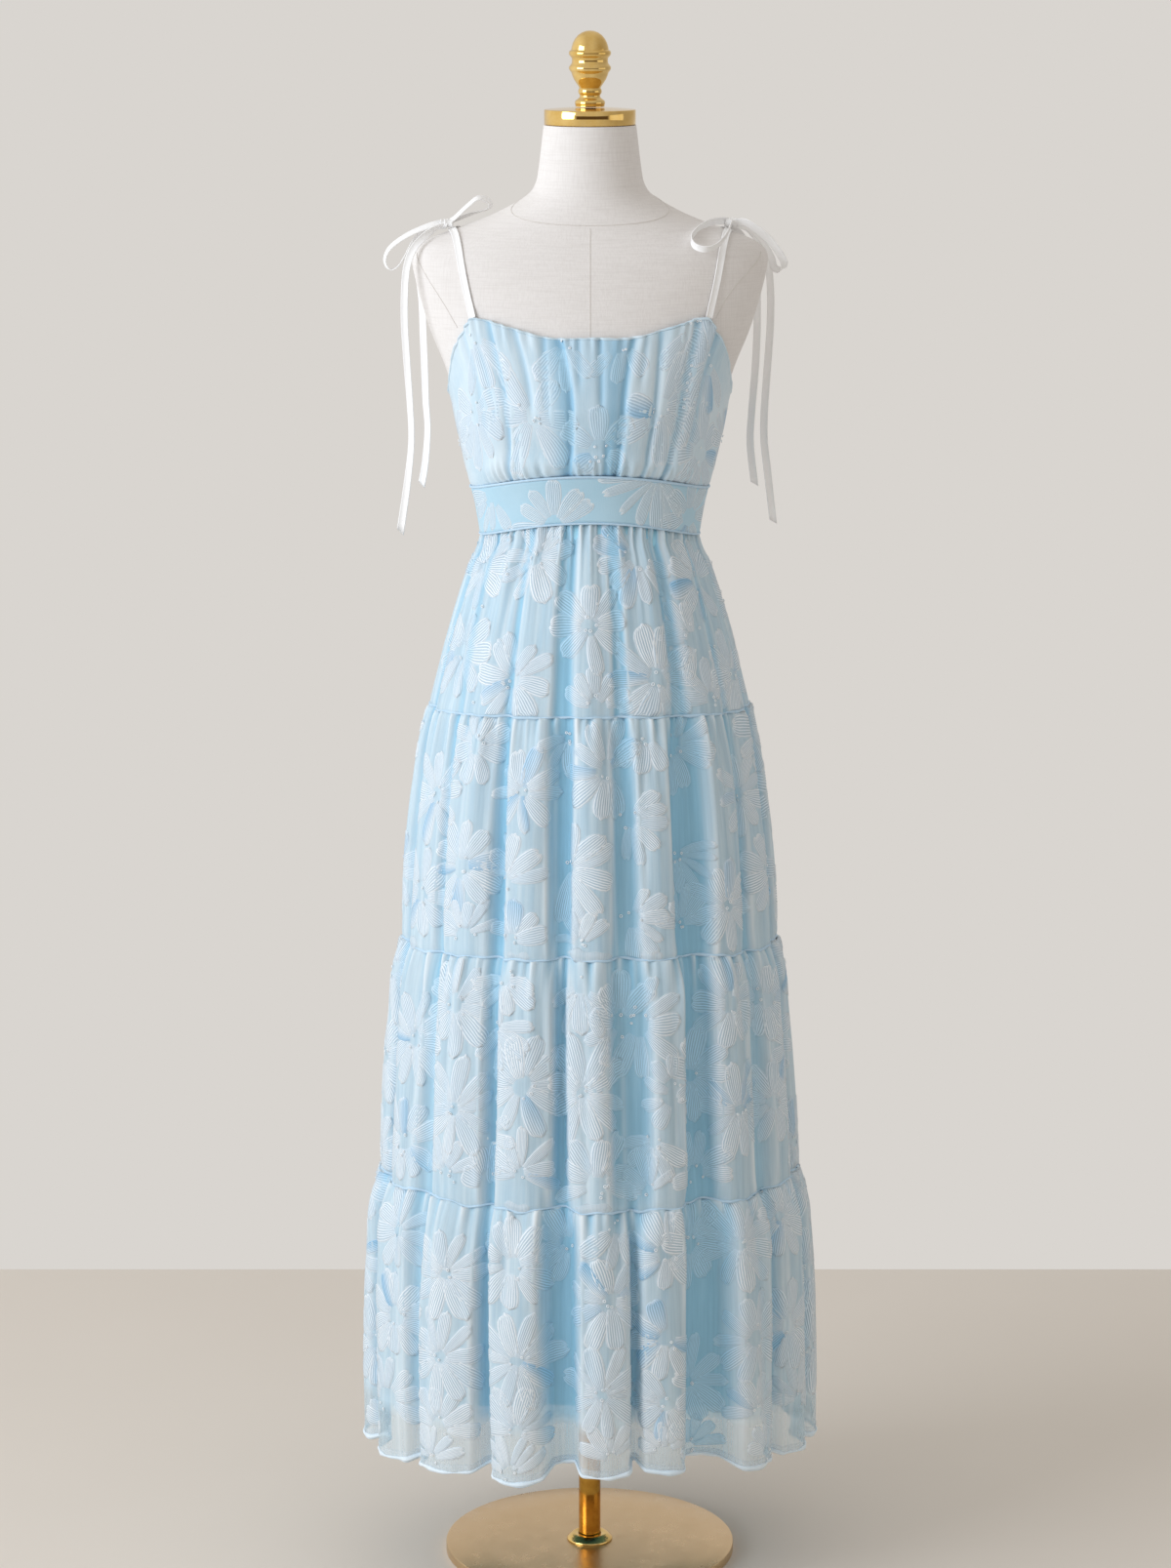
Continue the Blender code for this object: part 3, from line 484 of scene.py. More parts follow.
body = {
    "underbust": 1.179, "waist": 1.129, "rise": 0.022,
    "ease": [  # height, how far the cloth stands off the form at the side and in front
        (1.129, 0.0060, 0.0062), (1.179, 0.0058, 0.0072), (1.200, 0.0062, 0.0090),
        (1.240, 0.0058, 0.0095), (1.275, 0.0042, 0.0080), (1.310, 0.0040, 0.0066),
        (1.370, 0.0042, 0.0056)],
    # degrees from the centre front and height
    "topEdge": [(0, 1.3426), (16, 1.3432), (24, 1.3485), (34, 1.3560), (41, 1.3600), (44, 1.3600),
                (48, 1.3520), (54, 1.3375), (60.5, 1.3235), (68, 1.3070), (77, 1.2895), (90, 1.2770),
                (100, 1.2745), (125, 1.2770), (180, 1.2780)],
    # gathers: where each valley stands at the neckline, half way down and at the seam, how deep it is in
    # tenths of a millimetre, how wide, where it starts and ends on the way down, and over how many degrees
    # the cloth on its left leans towards it
    "gathers": [
        (-50.0, -49.0, -49.0, 22, 2.0, 0.0, 0.75, 0),
        (-44.0, -43.0, -45.5, 26, 1.5, 0.1, 0.7, 0),
        (-37.5, -36.0, -40.0, 58, 1.4, 0.0, 1.0, 6),
        (-31.0, -31.5, -35.0, 22, 1.3, 0.55, 1.0, 0),
        (-27.0, -24.5, -29.0, 36, 1.5, 0.0, 0.6, 4),
        (-16.5, -17.5, -18.0, 30, 1.2, 0.0, 0.62, 0),
        (-10.8, -7.6, -9.6, 70, 1.1, 0.0, 1.0, 9),
        (-4.5, -3.8, -3.6, 22, 1.1, 0.0, 0.4, 0),
        (3.4, 4.4, 1.8, 30, 1.1, 0.0, 0.58, 3),
        (8.5, 7.5, 6.6, 18, 1.3, 0.65, 1.0, 0),
        (15.5, 13.5, 11.8, 70, 1.1, 0.0, 1.0, 8),
        (20.0, 19.6, 18.6, 20, 1.2, 0.0, 0.4, 0),
        (25.4, 27.0, 24.5, 52, 1.2, 0.0, 1.0, 5),
        (31.0, 31.0, 29.5, 20, 1.3, 0.6, 1.0, 0),
        (40.0, 40.5, 35.0, 62, 1.4, 0.0, 1.0, 11),
        (50.8, 49.5, 44.5, 32, 1.8, 0.0, 0.9, 0),
    ],
    "cloth": 0.0012, "band": 0.0016, "least": 0.0014,  # walls, and what stays between cloth and form
    "deepest": 0.0062,  # a valley this deep has the full shade
    # how deep the tucks are, how far the cloth puffs out, more above the underbust seam, and how far that
    # seam pulls it in, more in front
    "tuck": 0.0018, "puff": 0.0024, "lowPuff": 0.0034, "pulledIn": 0.0012, "pulledMore": 0.0014,
    "ripple": 0.0006, "bandRipple": 0.0004, "bandHollow": 0.0006,
    "front": 62, "frontFade": 14,  # the gathered front's side, in degrees, and where it fades
    "clothTall": 0.135, "bandTall": 0.050,  # heights by which the flowers are placed
}


def bodyRing(z):
    side, front = lookUp(body["ease"], z)
    wide, ahead, behind = formAt(z)
    return wide + side, ahead + front, behind + side


def gatherDepth(signed, q, leaning=1.0):
    deep = 0.0
    early = np.sin(np.pi * np.minimum(q, 0.5))
    late = 1 - np.cos(np.pi * np.maximum(q - 0.5, 0))
    for top, mid, low, size, half, start, end, leaned in body["gathers"]:
        centre = top + (mid - top) * early + (low - mid) * late
        fade = np.clip((q - start) / 0.12 + 1.0 * (start == 0), 0, 1)
        fade = fade * np.clip((end - q) / 0.16 + 1.0 * (end == 1), 0, 1)
        away = signed - centre
        crease = bell(away, half)
        if leaned:
            lean = np.where(away < 0, np.clip(1 + away / leaned, 0, 1) ** 1.5, crease)
            crease = 0.5 * crease + 0.5 * leaning * lean
        deep = deep + size / tenths * fade * crease
    return deep


def bodicePlace(angle, q):
    # q runs from 0 at the top edge to 1 at the underbust seam
    edge, ease = np.array(body["topEdge"]), np.array(body["ease"])
    signed = fromFront(angle)
    turned = np.abs(signed)
    bottom = body["underbust"] + seamGap + body["rise"] * frontness(angle)
    top = curveThrough(edge[:, 0], edge[:, 1], turned)
    z = top + q * (bottom - top)
    deep = gatherDepth(signed, q)
    inFront = np.clip((body["front"] - turned) / body["frontFade"], 0, 1)
    # small tucks where the gathers are caught in both seams
    turn = np.radians(signed)
    tuck = np.cos(83 * turn + 2.6 * np.sin(9 * turn))
    tuck = tuck * (0.55 + 0.45 * np.sin(31 * turn + 1.2 * np.sin(13 * turn)))
    nearSeams = bell(q, 0.10) + 1.5 * bell(1 - q, 0.10)
    deep = (deep + inFront * body["tuck"] * tuck * nearSeams) * (1 - 0.5 * bell(1 - q, 0.03))
    # no gather is deeper than the cloth's distance from the form
    room = np.interp(z, ease[:, 0], ease[:, 1] + (ease[:, 2] - ease[:, 1]) * 0.8) - body["least"]
    deep = room * np.tanh(deep / room)
    # the gathered cloth puffs out above the seam and under the neckline, and is pulled in at each
    middle = np.sin(np.pi * np.clip(q, 0, 1))
    puff = inFront * (body["puff"] * middle ** 0.7 + body["lowPuff"] * bell(q - 0.90, 0.07))
    puff = puff - (body["pulledIn"] + body["pulledMore"] * inFront) * bell(1 - q, 0.025)
    puff = puff + ripple(angle, z, 1.0, body["ripple"]) * middle
    wide, front, back = bodyRing(z)
    return movedIn(onRing(angle, wide, front, back, z), deep - puff)


def bodiceShades(angle, q):
    signed = fromFront(angle)
    # painted shade: the deeper a gather's valley, the bluer the cloth is coloured
    deep = gatherDepth(signed, q, 0.5) / body["deepest"]
    # painted shade on the middle and the two panels beside it, which lie lower: they are coloured bluer
    for middle, half, more in ((9, 4.0, 0.45), (-11, 4.0, 0.4), (0, 18, 0.35)):
        deep = deep + more * bell(signed - middle, half)
    return np.clip(deep, 0, 1), 0 * deep, 0 * deep


def bandPlace(angle, q):
    low = body["waist"] + seamGap + body["rise"] * frontness(angle)
    high = body["underbust"] - seamGap + body["rise"] * frontness(angle)
    z = high + q * (low - high)
    wide, front, back = bodyRing(z)
    hollow = body["bandHollow"] * np.sin(np.pi * np.clip(q, 0, 1))
    hollow = hollow - ripple(angle, z, 4.0, body["bandRipple"])
    return movedIn(onRing(angle, wide, front, back, z), hollow)


def setFloats(mesh, label, values):
    layer = mesh.attributes.new(label, "FLOAT", "POINT")
    layer.data.foreach_set("value", np.asarray(values, np.float32).ravel())


def clothRing(name, place, rows, columns, finish, thickness, shades=None):
    # place gives the points, and shades the tones, for an angle and a share q of the way down
    angles = np.arange(columns) * 360.0 / columns - 90.0
    grid = np.array([place(angles, np.full(columns, q)) for q in rows])
    u, around = aroundRing(grid[len(rows) // 2])
    down = distancesAlong(grid[:, columns // 4])
    piece = addPiece(name, grid, gridFaces(len(rows), columns, True), finish,
                     gridUvs(uvGrid(u, down), True, around))
    if shades:
        tones = np.array([shades(angles, np.full(columns, q)) for q in rows])
        for column, label in enumerate(clothTones):
            setFloats(piece.data, label, tones[:, column])
    print("  ", name, "round", round(float(around), 3), "down", round(float(down[-1]), 3))
    thicken(piece, thickness)
    return piece


def edgeCord(name, place, q, finish, radius, columns, out=0.0, uneven=0.0, tall=1.0, number=0.0,
             parts=None):
    # a cord or a roll of cloth along a seam or an edge; parts are the middles and half widths, in degrees,
    # of the stretches where it stands out, and elsewhere it lies hidden in the seam
    angles = np.arange(columns) * 360.0 / columns - 90.0
    line = movedIn(place(angles, np.full(columns, q)), np.full(columns, -out))
    ahead = unit(np.roll(line, -1, axis=0) - np.roll(line, 1, axis=0))
    up = unit(np.array([0.0, 0.0, 1.0]) - ahead * ahead[:, 2:3])
    side = np.cross(ahead, up)
    turn = np.radians(angles)
    size = 1 + uneven * (0.45 * np.sin(11 * turn + number) + 0.45 * np.sin(29 * turn + 2 * number)
                         + 0.3 * np.sin(67 * turn + 3 * number))
    size = np.maximum(size, 0.15)
    if parts:
        size = size * sum(smoothStep(2.0 - 2.0 * np.abs(fromFront(angles - middle)) / half)
                          for middle, half in parts) + 0.1
    points = np.stack([line + radius * size[:, None] * (math.cos(t) * side + tall * math.sin(t) * up)
                       for t in np.arange(8) * math.pi / 4])
    points = np.concatenate([points, points[:1]])
    u, around = aroundRing(line)
    uvs = gridUvs(uvGrid(u, np.arange(9) * radius * 0.8), True, around)
    return addPiece(name, points, gridFaces(9, columns, True)[:, ::-1], finish, uvs)


def makeBodice():
    rows = joinedRows((0, 0.1, 7), (0.1, 0.85, 26), (0.85, 1, 12))
    cloth = clothRing("bodice", bodicePlace, rows, 480, bodiceCloth, body["cloth"], bodiceShades)
    edge = edgeCord("bodiceEdge", bodicePlace, 0.0, bodiceCloth, radius=0.0014, columns=480, out=-0.0005,
                    uneven=0.35)
    band = clothRing("waistband", bandPlace, np.linspace(0, 1, 13), 240, bandCloth, body["band"])
    pipes = [edgeCord(name, bandPlace, q, cordCloth, radius=radius, columns=300, out=0.0002, tall=tall)
             for name, q, radius, tall in (("underbustPiping", 0.0, 0.0011, 1.2),
                                           ("waistPiping", 1.0, 0.0010, 1.1))]
    declare(cloth, "embroidered_organza", "bodice_front", "bodice_back")
    declare(edge, "embroidered_organza")
    declare(band, "band_cloth", "waistband_front", "waistband_back")
    for pipe in pipes:
        declare(pipe, "band_cloth")
    return cloth, edge, band, pipes


bodice, bodiceEdge, waistband, piping = makeBodice()
print("bodice and waistband made")

# Skirt ---

skirt = {
    "waist": 1.129, "hem": 0.139, "seams": (1.129, 0.947, 0.694, 0.4395, 0.139),
    # rings: height, half width, depth in front and behind, rise of the middle front, depth of the folds
    # and of the gathers, in tenths of a millimetre
    "rings": [
        (11290, 1160, 880, 840, 220, 0, 10), (11170, 1212, 935, 895, 220, 10, 17),
        (10520, 1440, 1160, 1160, 180, 40, 12), (9470, 1715, 1420, 1460, 90, 70, 6),
        (9310, 1775, 1478, 1520, 90, 100, 20), (8600, 1900, 1600, 1645, 100, 140, 9),
        (7750, 1985, 1690, 1735, 120, 160, 3), (6940, 2025, 1760, 1810, 130, 140, 5),
        (6740, 2105, 1825, 1880, 130, 160, 22), (6050, 2175, 1890, 1950, 90, 190, 10),
        (5200, 2230, 1945, 2010, 50, 210, 3), (4395, 2270, 1990, 2060, 30, 170, 5),
        (4180, 2365, 2070, 2140, 30, 190, 24), (3420, 2445, 2135, 2190, 80, 230, 11),
        (2400, 2475, 2170, 2210, 150, 260, 3), (1390, 2480, 2180, 2210, 240, 280, 0)],
    # each fold: its crest at the waist and at the hem, how full it is, how deep the valley after it is,
    # how far it drops at the hem, and half the width of that valley's floor on each tier, in degrees
    "folds": [
        (-170.0, -169.0, 0.90, 0.85, 0.002, 1.0, 2.0, 3.0, 3.5),
        (-148.0, -150.0, 1.00, 0.70, 0.006, 0.8, 1.2, 1.0, 1.5),
        (-127.0, -129.0, 0.86, 0.95, 0.001, 1.5, 3.0, 4.0, 3.0),
        (-107.0, -106.0, 1.00, 0.75, 0.005, 0.6, 1.0, 1.5, 1.0),
        (-88.0, -86.0, 0.99, 0.65, 0.000, 0.8, 1.5, 1.5, 2.0),
        (-69.0, -64.0, 0.98, 0.60, 0.002, 0.8, 1.0, 1.2, 1.0),
        (-42.0, -38.5, 1.00, 0.90, 0.004, 0.6, 0.8, 0.8, 0.8),
        (-21.0, -18.5, 1.00, 1.00, 0.012, 1.6, 2.6, 0.8, 2.8),
        (0.0, 4.0, 0.97, 0.85, 0.004, 1.8, 2.4, 4.2, 0.5),
        (22.5, 20.5, 0.92, 1.00, 0.001, 1.2, 5.6, 4.4, 5.6),
        (48.0, 45.5, 1.00, 0.60, 0.003, 0.8, 1.6, 2.0, 1.6),
        (68.0, 68.5, 0.95, 0.70, 0.000, 0.8, 1.2, 1.0, 1.5),
        (89.0, 90.0, 1.00, 0.85, 0.003, 1.5, 3.0, 4.0, 3.0),
        (109.0, 111.0, 0.88, 0.75, 0.001, 0.6, 1.0, 1.5, 1.0),
        (129.0, 131.0, 1.00, 0.95, 0.006, 1.8, 2.5, 0.8, 2.5),
        (150.0, 151.0, 0.90, 0.70, 0.002, 0.8, 1.5, 2.0, 1.5),
        (170.0, 171.0, 0.96, 0.80, 0.004, 1.2, 2.8, 3.5, 4.5)],
    "bank": 2.4,      # how wide the steep side of a fold is, in degrees
    "deeper": {1: 1.1, 2: 1.2, 3: 1.15, 4: 1.2},  # folds against the plain solid's, which are softer
    "lift": 0.009,    # how far the hem rises in a valley
    "gathers": 26,
    "pucker": 0.0034, "leastPucker": 0.0003, "puckerFade": 0.028,  # the finest gathers, under each seam
    "ripple": 0.0012, "rippleFrom": 0.05,
    # how near to a seam: the neighbour's folds show, the seam's waves show, creases are held back
    "meets": 0.018, "waves": 0.02, "holds": 0.012,
    "drawnHigh": 0.0035, "footDrawn": 0.0010, "footHigh": 0.004,  # where the cloth is drawn in to a seam
    "dropFrom": 0.24, "dropOver": 0.101,  # height below which the folds drop or lift at the hem
    "thinFrom": 0.200, "thinOver": 0.012,  # height below which no lining lies behind the cloth
    "sharp": {1: 0.46, 2: 0.62, 3: 0.66, 4: 0.68},  # how much of a valley has steep sides
    "drawnIn": {1: 0.0020, 2: 0.0013, 3: 0.0011, 4: 0.0010},  # how far a seam draws in the cloth below it
    "wave": {1: 0.0006, 2: 0.0013, 3: 0.0024},  # how far each seam wanders up and down
    # the hem's turning: its wall, how far out it lies, and at what share of the tier it starts
    "wall": 0.0006, "hemWall": 0.0014, "hemOut": 0.0005, "hemTurn": 0.972,
    "rolls": {  # where the seam's turning shows as a roll: the middle and half the width, in degrees
        2: [(0, 8), (17, 7), (-22, 5), (97, 8), (140, 9), (188, 9), (236, 8), (290, 6)],
        3: [(-20, 5), (1, 6), (112, 8), (162, 9), (208, 7), (262, 9)]},
}
ringTable = np.array(skirt["rings"][::-1]) / tenths
foldTable = np.array(skirt["folds"])


def foldAt(angle, share, tier):
    # how deep the valley is there, how far the fold drops at the hem, and how near the valley's floor and
    # its edge are
    angle, share = np.broadcast_arrays(np.asarray(angle, float), np.asarray(share, float))
    crests = foldTable[:, 0] + share[..., None] * (foldTable[:, 1] - foldTable[:, 0])
    turned = (angle - crests[..., 0]) % 360.0 + crests[..., 0]
    which = np.sum(turned[..., None] >= crests, axis=-1) - 1
    following = (which + 1) % len(foldTable)
    here = np.take_along_axis(crests, which[..., None], -1)[..., 0]
    after = np.take_along_axis(crests, following[..., None], -1)[..., 0]
    after = np.where(following == 0, after + 360.0, after)
    along = (turned - here) / (after - here)
    easing = smoothStep(along)
    away = np.abs(along - 0.5) * (after - here) - foldTable[which, 4 + tier]
    bank = skirt["bank"] * (1 + 0.35 * np.sin(2.7 * which + tier + 5 * share))
    steep = smoothStep(1 - away / bank)
    gentle = (1 - np.cos(2 * np.pi * along)) / 2
    sharp = skirt["sharp"][tier]
    valley = foldTable[which, 3] * (sharp * steep + (1 - sharp) * gentle)
    full = foldTable[which, 2] + easing * (foldTable[following, 2] - foldTable[which, 2])
    drop = foldTable[which, 4] + easing * (foldTable[following, 4] - foldTable[which, 4])
    rim = bell(away - bank, 0.9) * foldTable[which, 3]
    return valley + 1 - full, drop, steep * foldTable[which, 3], rim


def foldsOf(angle, z, tier, low, high):
    # a tier's folds between its two seams: at a seam they are half its own and half its neighbour's, so
    # that the two cloths meet there
    share = (skirt["waist"] - z) / (skirt["waist"] - skirt["hem"])
    valley, drop, floor, rim = foldAt(angle, share, tier)
    valley = skirt["deeper"][tier] * valley
    for other, away in ((tier - 1, high - z), (tier + 1, z - low)):
        if other in skirt["deeper"]:
            part = 0.5 * bell(away, skirt["meets"])
            near = foldAt(angle, share, other)
            valley = valley + part * (skirt["deeper"][other] * near[0] - valley)
            floor = floor + part * (near[2] - floor)
    return valley, drop, floor, rim


def gatherAt(angle, tier):
    turn = np.radians(angle)
    phase = skirt["gathers"] * turn + 0.5 * np.sin(3 * turn + tier) + 0.35 * np.sin(7 * turn + 2 * tier)
    return (1 - np.cos(phase)) / 2


def fineGather(angle, tier):
    turn = np.radians(angle)
    bend = 1.4 * np.sin(4 * turn + tier) + 0.9 * np.sin(9 * turn + 2 * tier)
    return (0.5 * np.cos(58 * turn + bend) + 0.32 * np.cos(91 * turn - 1.3 * bend)
            + 0.2 * np.cos(139 * turn + bend))


def seamWave(angle, number):
    # the seams below the waist wander a little up and down, as their gathers pull them
    turn = np.radians(angle)
    return skirt["wave"].get(number, 0.0) * (
        0.5 * np.sin(9 * turn + number) + 0.5 * np.sin(23 * turn + 2 * number) + 0.4 * np.sin(43 * turn))


# creases that cross the broad folds: angle at its top and foot, share of the tier where it starts and
# ends, depth in tenths of a millimetre (below 0 it stands out as a ridge) and half width in degrees
creases = {
    1: [
        (-36, -40, 0.05, 0.8, 16, 2.2), (-12, -14, 0.0, 0.7, 18, 1.8), (10, 11, 0.1, 1.0, 20, 1.8),
        (33, 36, 0.0, 0.9, 18, 2.0), (-58, -62, 0.1, 1.0, 16, 2.4), (57, 58, 0.1, 0.8, 15, 2.2)],
    2: [
        (-45, -47, 0.0, 0.7, 22, 1.8), (-13, -12, 0.1, 1.0, -18, 1.6), (-5, -6, 0.0, 0.6, 20, 1.4),
        (6, 8, 0.2, 1.0, 18, 1.6), (18, 17, 0.0, 0.8, 22, 1.5), (40, 41, 0.1, 1.0, -20, 1.8),
        (62, 60, 0.0, 1.0, 22, 2.0), (-66, -64, 0.2, 1.0, 20, 2.0), (-30, -29, 0.3, 1.0, 16, 1.5)],
    3: [
        (-43, -45, 0.0, 0.8, 24, 1.8), (-33, -32, 0.2, 1.0, -22, 1.6), (-14, -13, 0.0, 0.6, 20, 1.4),
        (-2, -1, 0.0, 1.0, 24, 1.5), (9, 10, 0.3, 1.0, -18, 1.5), (25, 24, 0.0, 0.9, 22, 1.5),
        (50, 51, 0.1, 1.0, 26, 1.9), (-58, -60, 0.0, 1.0, 22, 2.0), (63, 65, 0.0, 0.7, 22, 2.0)],
    4: [
        (-45, -46, 0.0, 0.9, 28, 1.8), (-33, -32, 0.1, 0.8, -22, 1.6), (-22, -23, 0.0, 0.5, 26, 1.4),
        (-12, -13, 0.1, 1.0, 22, 1.4), (-1, 0, 0.0, 0.8, 26, 1.6), (8, 9, 0.2, 1.0, -20, 1.5),
        (24, 25, 0.0, 1.0, 22, 1.5), (40, 39, 0.0, 0.7, 28, 1.8), (51, 52, 0.1, 1.0, 24, 1.8),
        (-60, -58, 0.0, 1.0, 24, 2.0), (61, 63, 0.2, 1.0, 22, 2.0), (72, 74, 0.0, 0.8, 22, 1.8)],
}
for tierCreases in creases.values():  # the hidden sides have such creases too
    for turnedBy in (95.0, 178.0, 262.0):
        tierCreases += [(top + turnedBy, foot + turnedBy, start, end, deep, half)
                        for top, foot, start, end, deep, half in tierCreases[:5]]


def creaseAt(crease, angle, q):
    # how far away the crease's middle line is, in degrees, and how much of the crease there is
    top, foot, start, end = crease[:4]
    fade = np.clip((q - start) / 0.15, 0, 1) * np.clip((end - q) / 0.2 + 1.0 * (end == 1.0), 0, 1)
    return fromFront(angle - (top + (foot - top) * q)), fade


def meetBand(ring, height, below):
    # the skirt's and the lining's top ring is the waistband's
    near = np.clip(1 - below / 0.03, 0, 1)
    return [size + near * (own - size) for size, own in zip(ring, bodyRing(height))]


def tierPlace(number):
    high, low = skirt["seams"][number - 1:number + 1]
    rings = ringTable[(ringTable[:, 0] >= low) & (ringTable[:, 0] <= high)]

    def place(angle, q):
        # q runs from 0 at the tier's own seam to 1 at its foot
        z = high + q * (low - high)
        *ring, rise, fold, gather = (curveThrough(rings[:, 0], column, z) for column in rings.T[1:])
        valley, drop, _, _ = foldsOf(angle, z, number, low, high)
        below = high - z
        height = z + rise * frontness(angle)
        height = height + seamWave(angle, number - 1) * bell(below, skirt["waves"])
        height = height + seamWave(angle, number) * bell(z - low, skirt["waves"])
        if number == 4:
            lower = np.clip((skirt["dropFrom"] - z) / skirt["dropOver"], 0, 1) ** 1.5
            height = height - (drop - skirt["lift"] * valley) * lower
        if number == 1:
            ring = meetBand(ring, height, below)
        deep = fold * valley + 2 * gather * gatherAt(angle, number)
        pucker = skirt["pucker"] * np.exp(-below / skirt["puckerFade"]) + skirt["leastPucker"]
        deep = deep + fineGather(angle, number) * pucker
        held = 1.0 - 0.85 * bell(z - low, skirt["holds"]) if number < 4 else 1.0
        for crease in creases[number]:
            away, fade = creaseAt(crease, angle, q)
            size, half = crease[4:]
            deep = deep + size / tenths * held * fade * bell(away, half)
        deep = deep - ripple(angle, z, number, skirt["ripple"]) * np.clip(below / skirt["rippleFrom"], 0, 1)
        # the cloth is drawn in to the seam above and below
        deep = deep + skirt["drawnIn"][number] * bell(below, skirt["drawnHigh"])
        if number < 4:
            deep = deep + skirt["footDrawn"] * bell(z - low, skirt["footHigh"])
        return movedIn(onRing(angle, *ring, height), deep)

    return place


def tierShades(number):
    high, low = skirt["seams"][number - 1:number + 1]

    def shades(angle, q):
        z = high + q * (low - high)
        # painted shade down in the valleys, painted highlight along the edges of the folds
        _, _, floor, rim = foldsOf(angle, z, number, low, high)
        nearSeam = np.exp(-(high - z) / skirt["puckerFade"])
        # painted shade in the fine gathers' hollows under the seam, painted highlight on their ridges
        tucks = 0.95 * nearSeam * np.clip(fineGather(angle, number), 0, 1)
        bright = 0.90 * nearSeam * np.clip(-fineGather(angle, number), 0, 1)
        for crease in creases[number]:
            away, fade = creaseAt(crease, angle, q)
            size, half = crease[4:]
            # painted highlight beside each crease, and painted shade in each trough
            bright = bright + 0.35 * fade * bell(away - 0.4 * half, 0.5 * half)
            tucks = tucks + (0.25 if size > 0 else 0.0) * fade * bell(away, half)
        patchy = 0.6 + 0.4 * np.sin(31 * z + 0.17 * angle + number) * np.sin(13 * z - 0.09 * angle)
        thin = smoothStep((skirt["thinFrom"] - z) / skirt["thinOver"]) if number == 4 else 0 * z
        return np.clip(floor + tucks, 0, 1), np.clip(0.7 * rim * patchy + bright, 0, 1), thin

    return shades


tierPlaces = {number: tierPlace(number) for number in (1, 2, 3, 4)}
tierGrids = {1: (40, 600), 2: (42, 660), 3: (42, 700), 4: (48, 740)}  # rows and columns


def hemPlace(angle, q):
    return movedIn(tierPlaces[4](angle, q), np.full(np.shape(angle), -skirt["hemOut"]))


def makeSkirt():
    tiers = {}
    for number, place in tierPlaces.items():
        down, across = tierGrids[number]
        rows = joinedRows((0, 0.08, 9), (0.08, 0.97, down - 12), (0.97, 1, 5))
        tier = clothRing(f"skirtTier{number}", place, rows, across, skirtCloth, skirt["wall"],
                         tierShades(number))
        declare(tier, "embroidered_organza", f"tier{number}_front", f"tier{number}_back")
        tiers[number] = [tier]
    for number in (1, 2, 3):
        tiers[number].append(edgeCord(f"seamCord{number}", tierPlaces[number], 1.0, cordCloth, radius=0.0011,
                                      columns=360, uneven=0.4, tall=1.2))
    for number, parts in skirt["rolls"].items():
        tiers[number].append(edgeCord(f"seamRoll{number}", tierPlaces[number], 0.980, hemCloth, radius=0.0014,
                                      columns=640, out=-0.0008, uneven=0.5, tall=3.6, number=number,
                                      parts=parts))
    hemBand = clothRing("hemBand", hemPlace, np.linspace(skirt["hemTurn"], 1.0, 5), 760, hemCloth,
                        skirt["hemWall"], tierShades(4))
    hemEdge = edgeCord("hemEdge", tierPlaces[4], 1.0, seamCloth, radius=0.0017, columns=700, uneven=0.55,
                       tall=1.3, number=5.0)
    tiers[4] += [hemBand, hemEdge]
    for _, *sewing in tiers.values():
        for piece in sewing:
            declare(piece, "embroidered_organza")
    return tiers


lining = {  # rows: height, how far inside the skirt's outline
    "rows": [(1.129, 0.0042), (1.117, 0.0072), (1.052, 0.0110), (0.947, 0.0170), (0.931, 0.0215),
             (0.860, 0.0275), (0.775, 0.0300), (0.694, 0.0290), (0.674, 0.0325), (0.605, 0.0365),
             (0.520, 0.0385), (0.4395, 0.0350), (0.418, 0.0395), (0.342, 0.0450), (0.188, 0.0470)],
    "hem": 0.188, "hemRise": 0.036,
    "falls": 19, "fallDeep": 0.0045, "wall": 0.0006,
}


def liningPlace(angle, q):
    waist = skirt["waist"]
    z = waist + q * (lining["hem"] - waist)
    *ring, rise, _, _ = lookUp(ringTable, z)
    inset = lookUp(lining["rows"][::-1], z)[0]
    down = (waist - z) / (waist - lining["hem"])
    height = z - seamGap + (rise + down * (lining["hemRise"] - rise)) * frontness(angle)
    turn = np.radians(angle)
    fall = 0.5 - 0.5 * np.cos(lining["falls"] * turn + 0.8 * np.sin(4 * turn) + 2.0 * q)
    soft = np.clip((waist - z) / 0.2, 0, 1) * lining["fallDeep"] * fall
    return movedIn(onRing(angle, *meetBand(ring, height, waist - z), height), inset + soft)


def makeLining():
    cloth = clothRing("skirtLining", liningPlace, np.linspace(0, 1, 44), 260, liningCloth, lining["wall"])
    return declare(cloth, "lining_cloth", "lining_front", "lining_back")


tiers = makeSkirt()
skirtLining = makeLining()
print("skirt made")

# Embroidery ---

petal = {
    "along": [0.0, 0.08, 0.25, 0.43, 0.60, 0.76, 0.88, 0.96, 1.0],
    "across": [-1.0, -0.84, -0.45, 0.0, 0.45, 0.84, 1.0],
    "raised": [-0.0004, 0.0007, 0.0006, 0.0007, 0.0006, 0.0007, -0.0004],
    "ends": (-0.0004, -0.0003),  # the raise at the heart and at the tip
    "widest": 0.026, "larger": 1.10, "more": 1.15,
    "heart": 0.0045, "heartMore": 0.0070,  # radius of a flower's open heart, and by how much it differs
    "spacing": 0.088, "hidden": (78.0, 282.0),  # where flowers are scattered, in degrees
}
# a sequin's radius on the skirt and on the bodice, its ring's half width and half height, and its stand
sequin = {"skirt": 0.0013, "bodice": 0.0011, "ring": 0.0005, "flat": 0.00035, "stand": 0.0012}

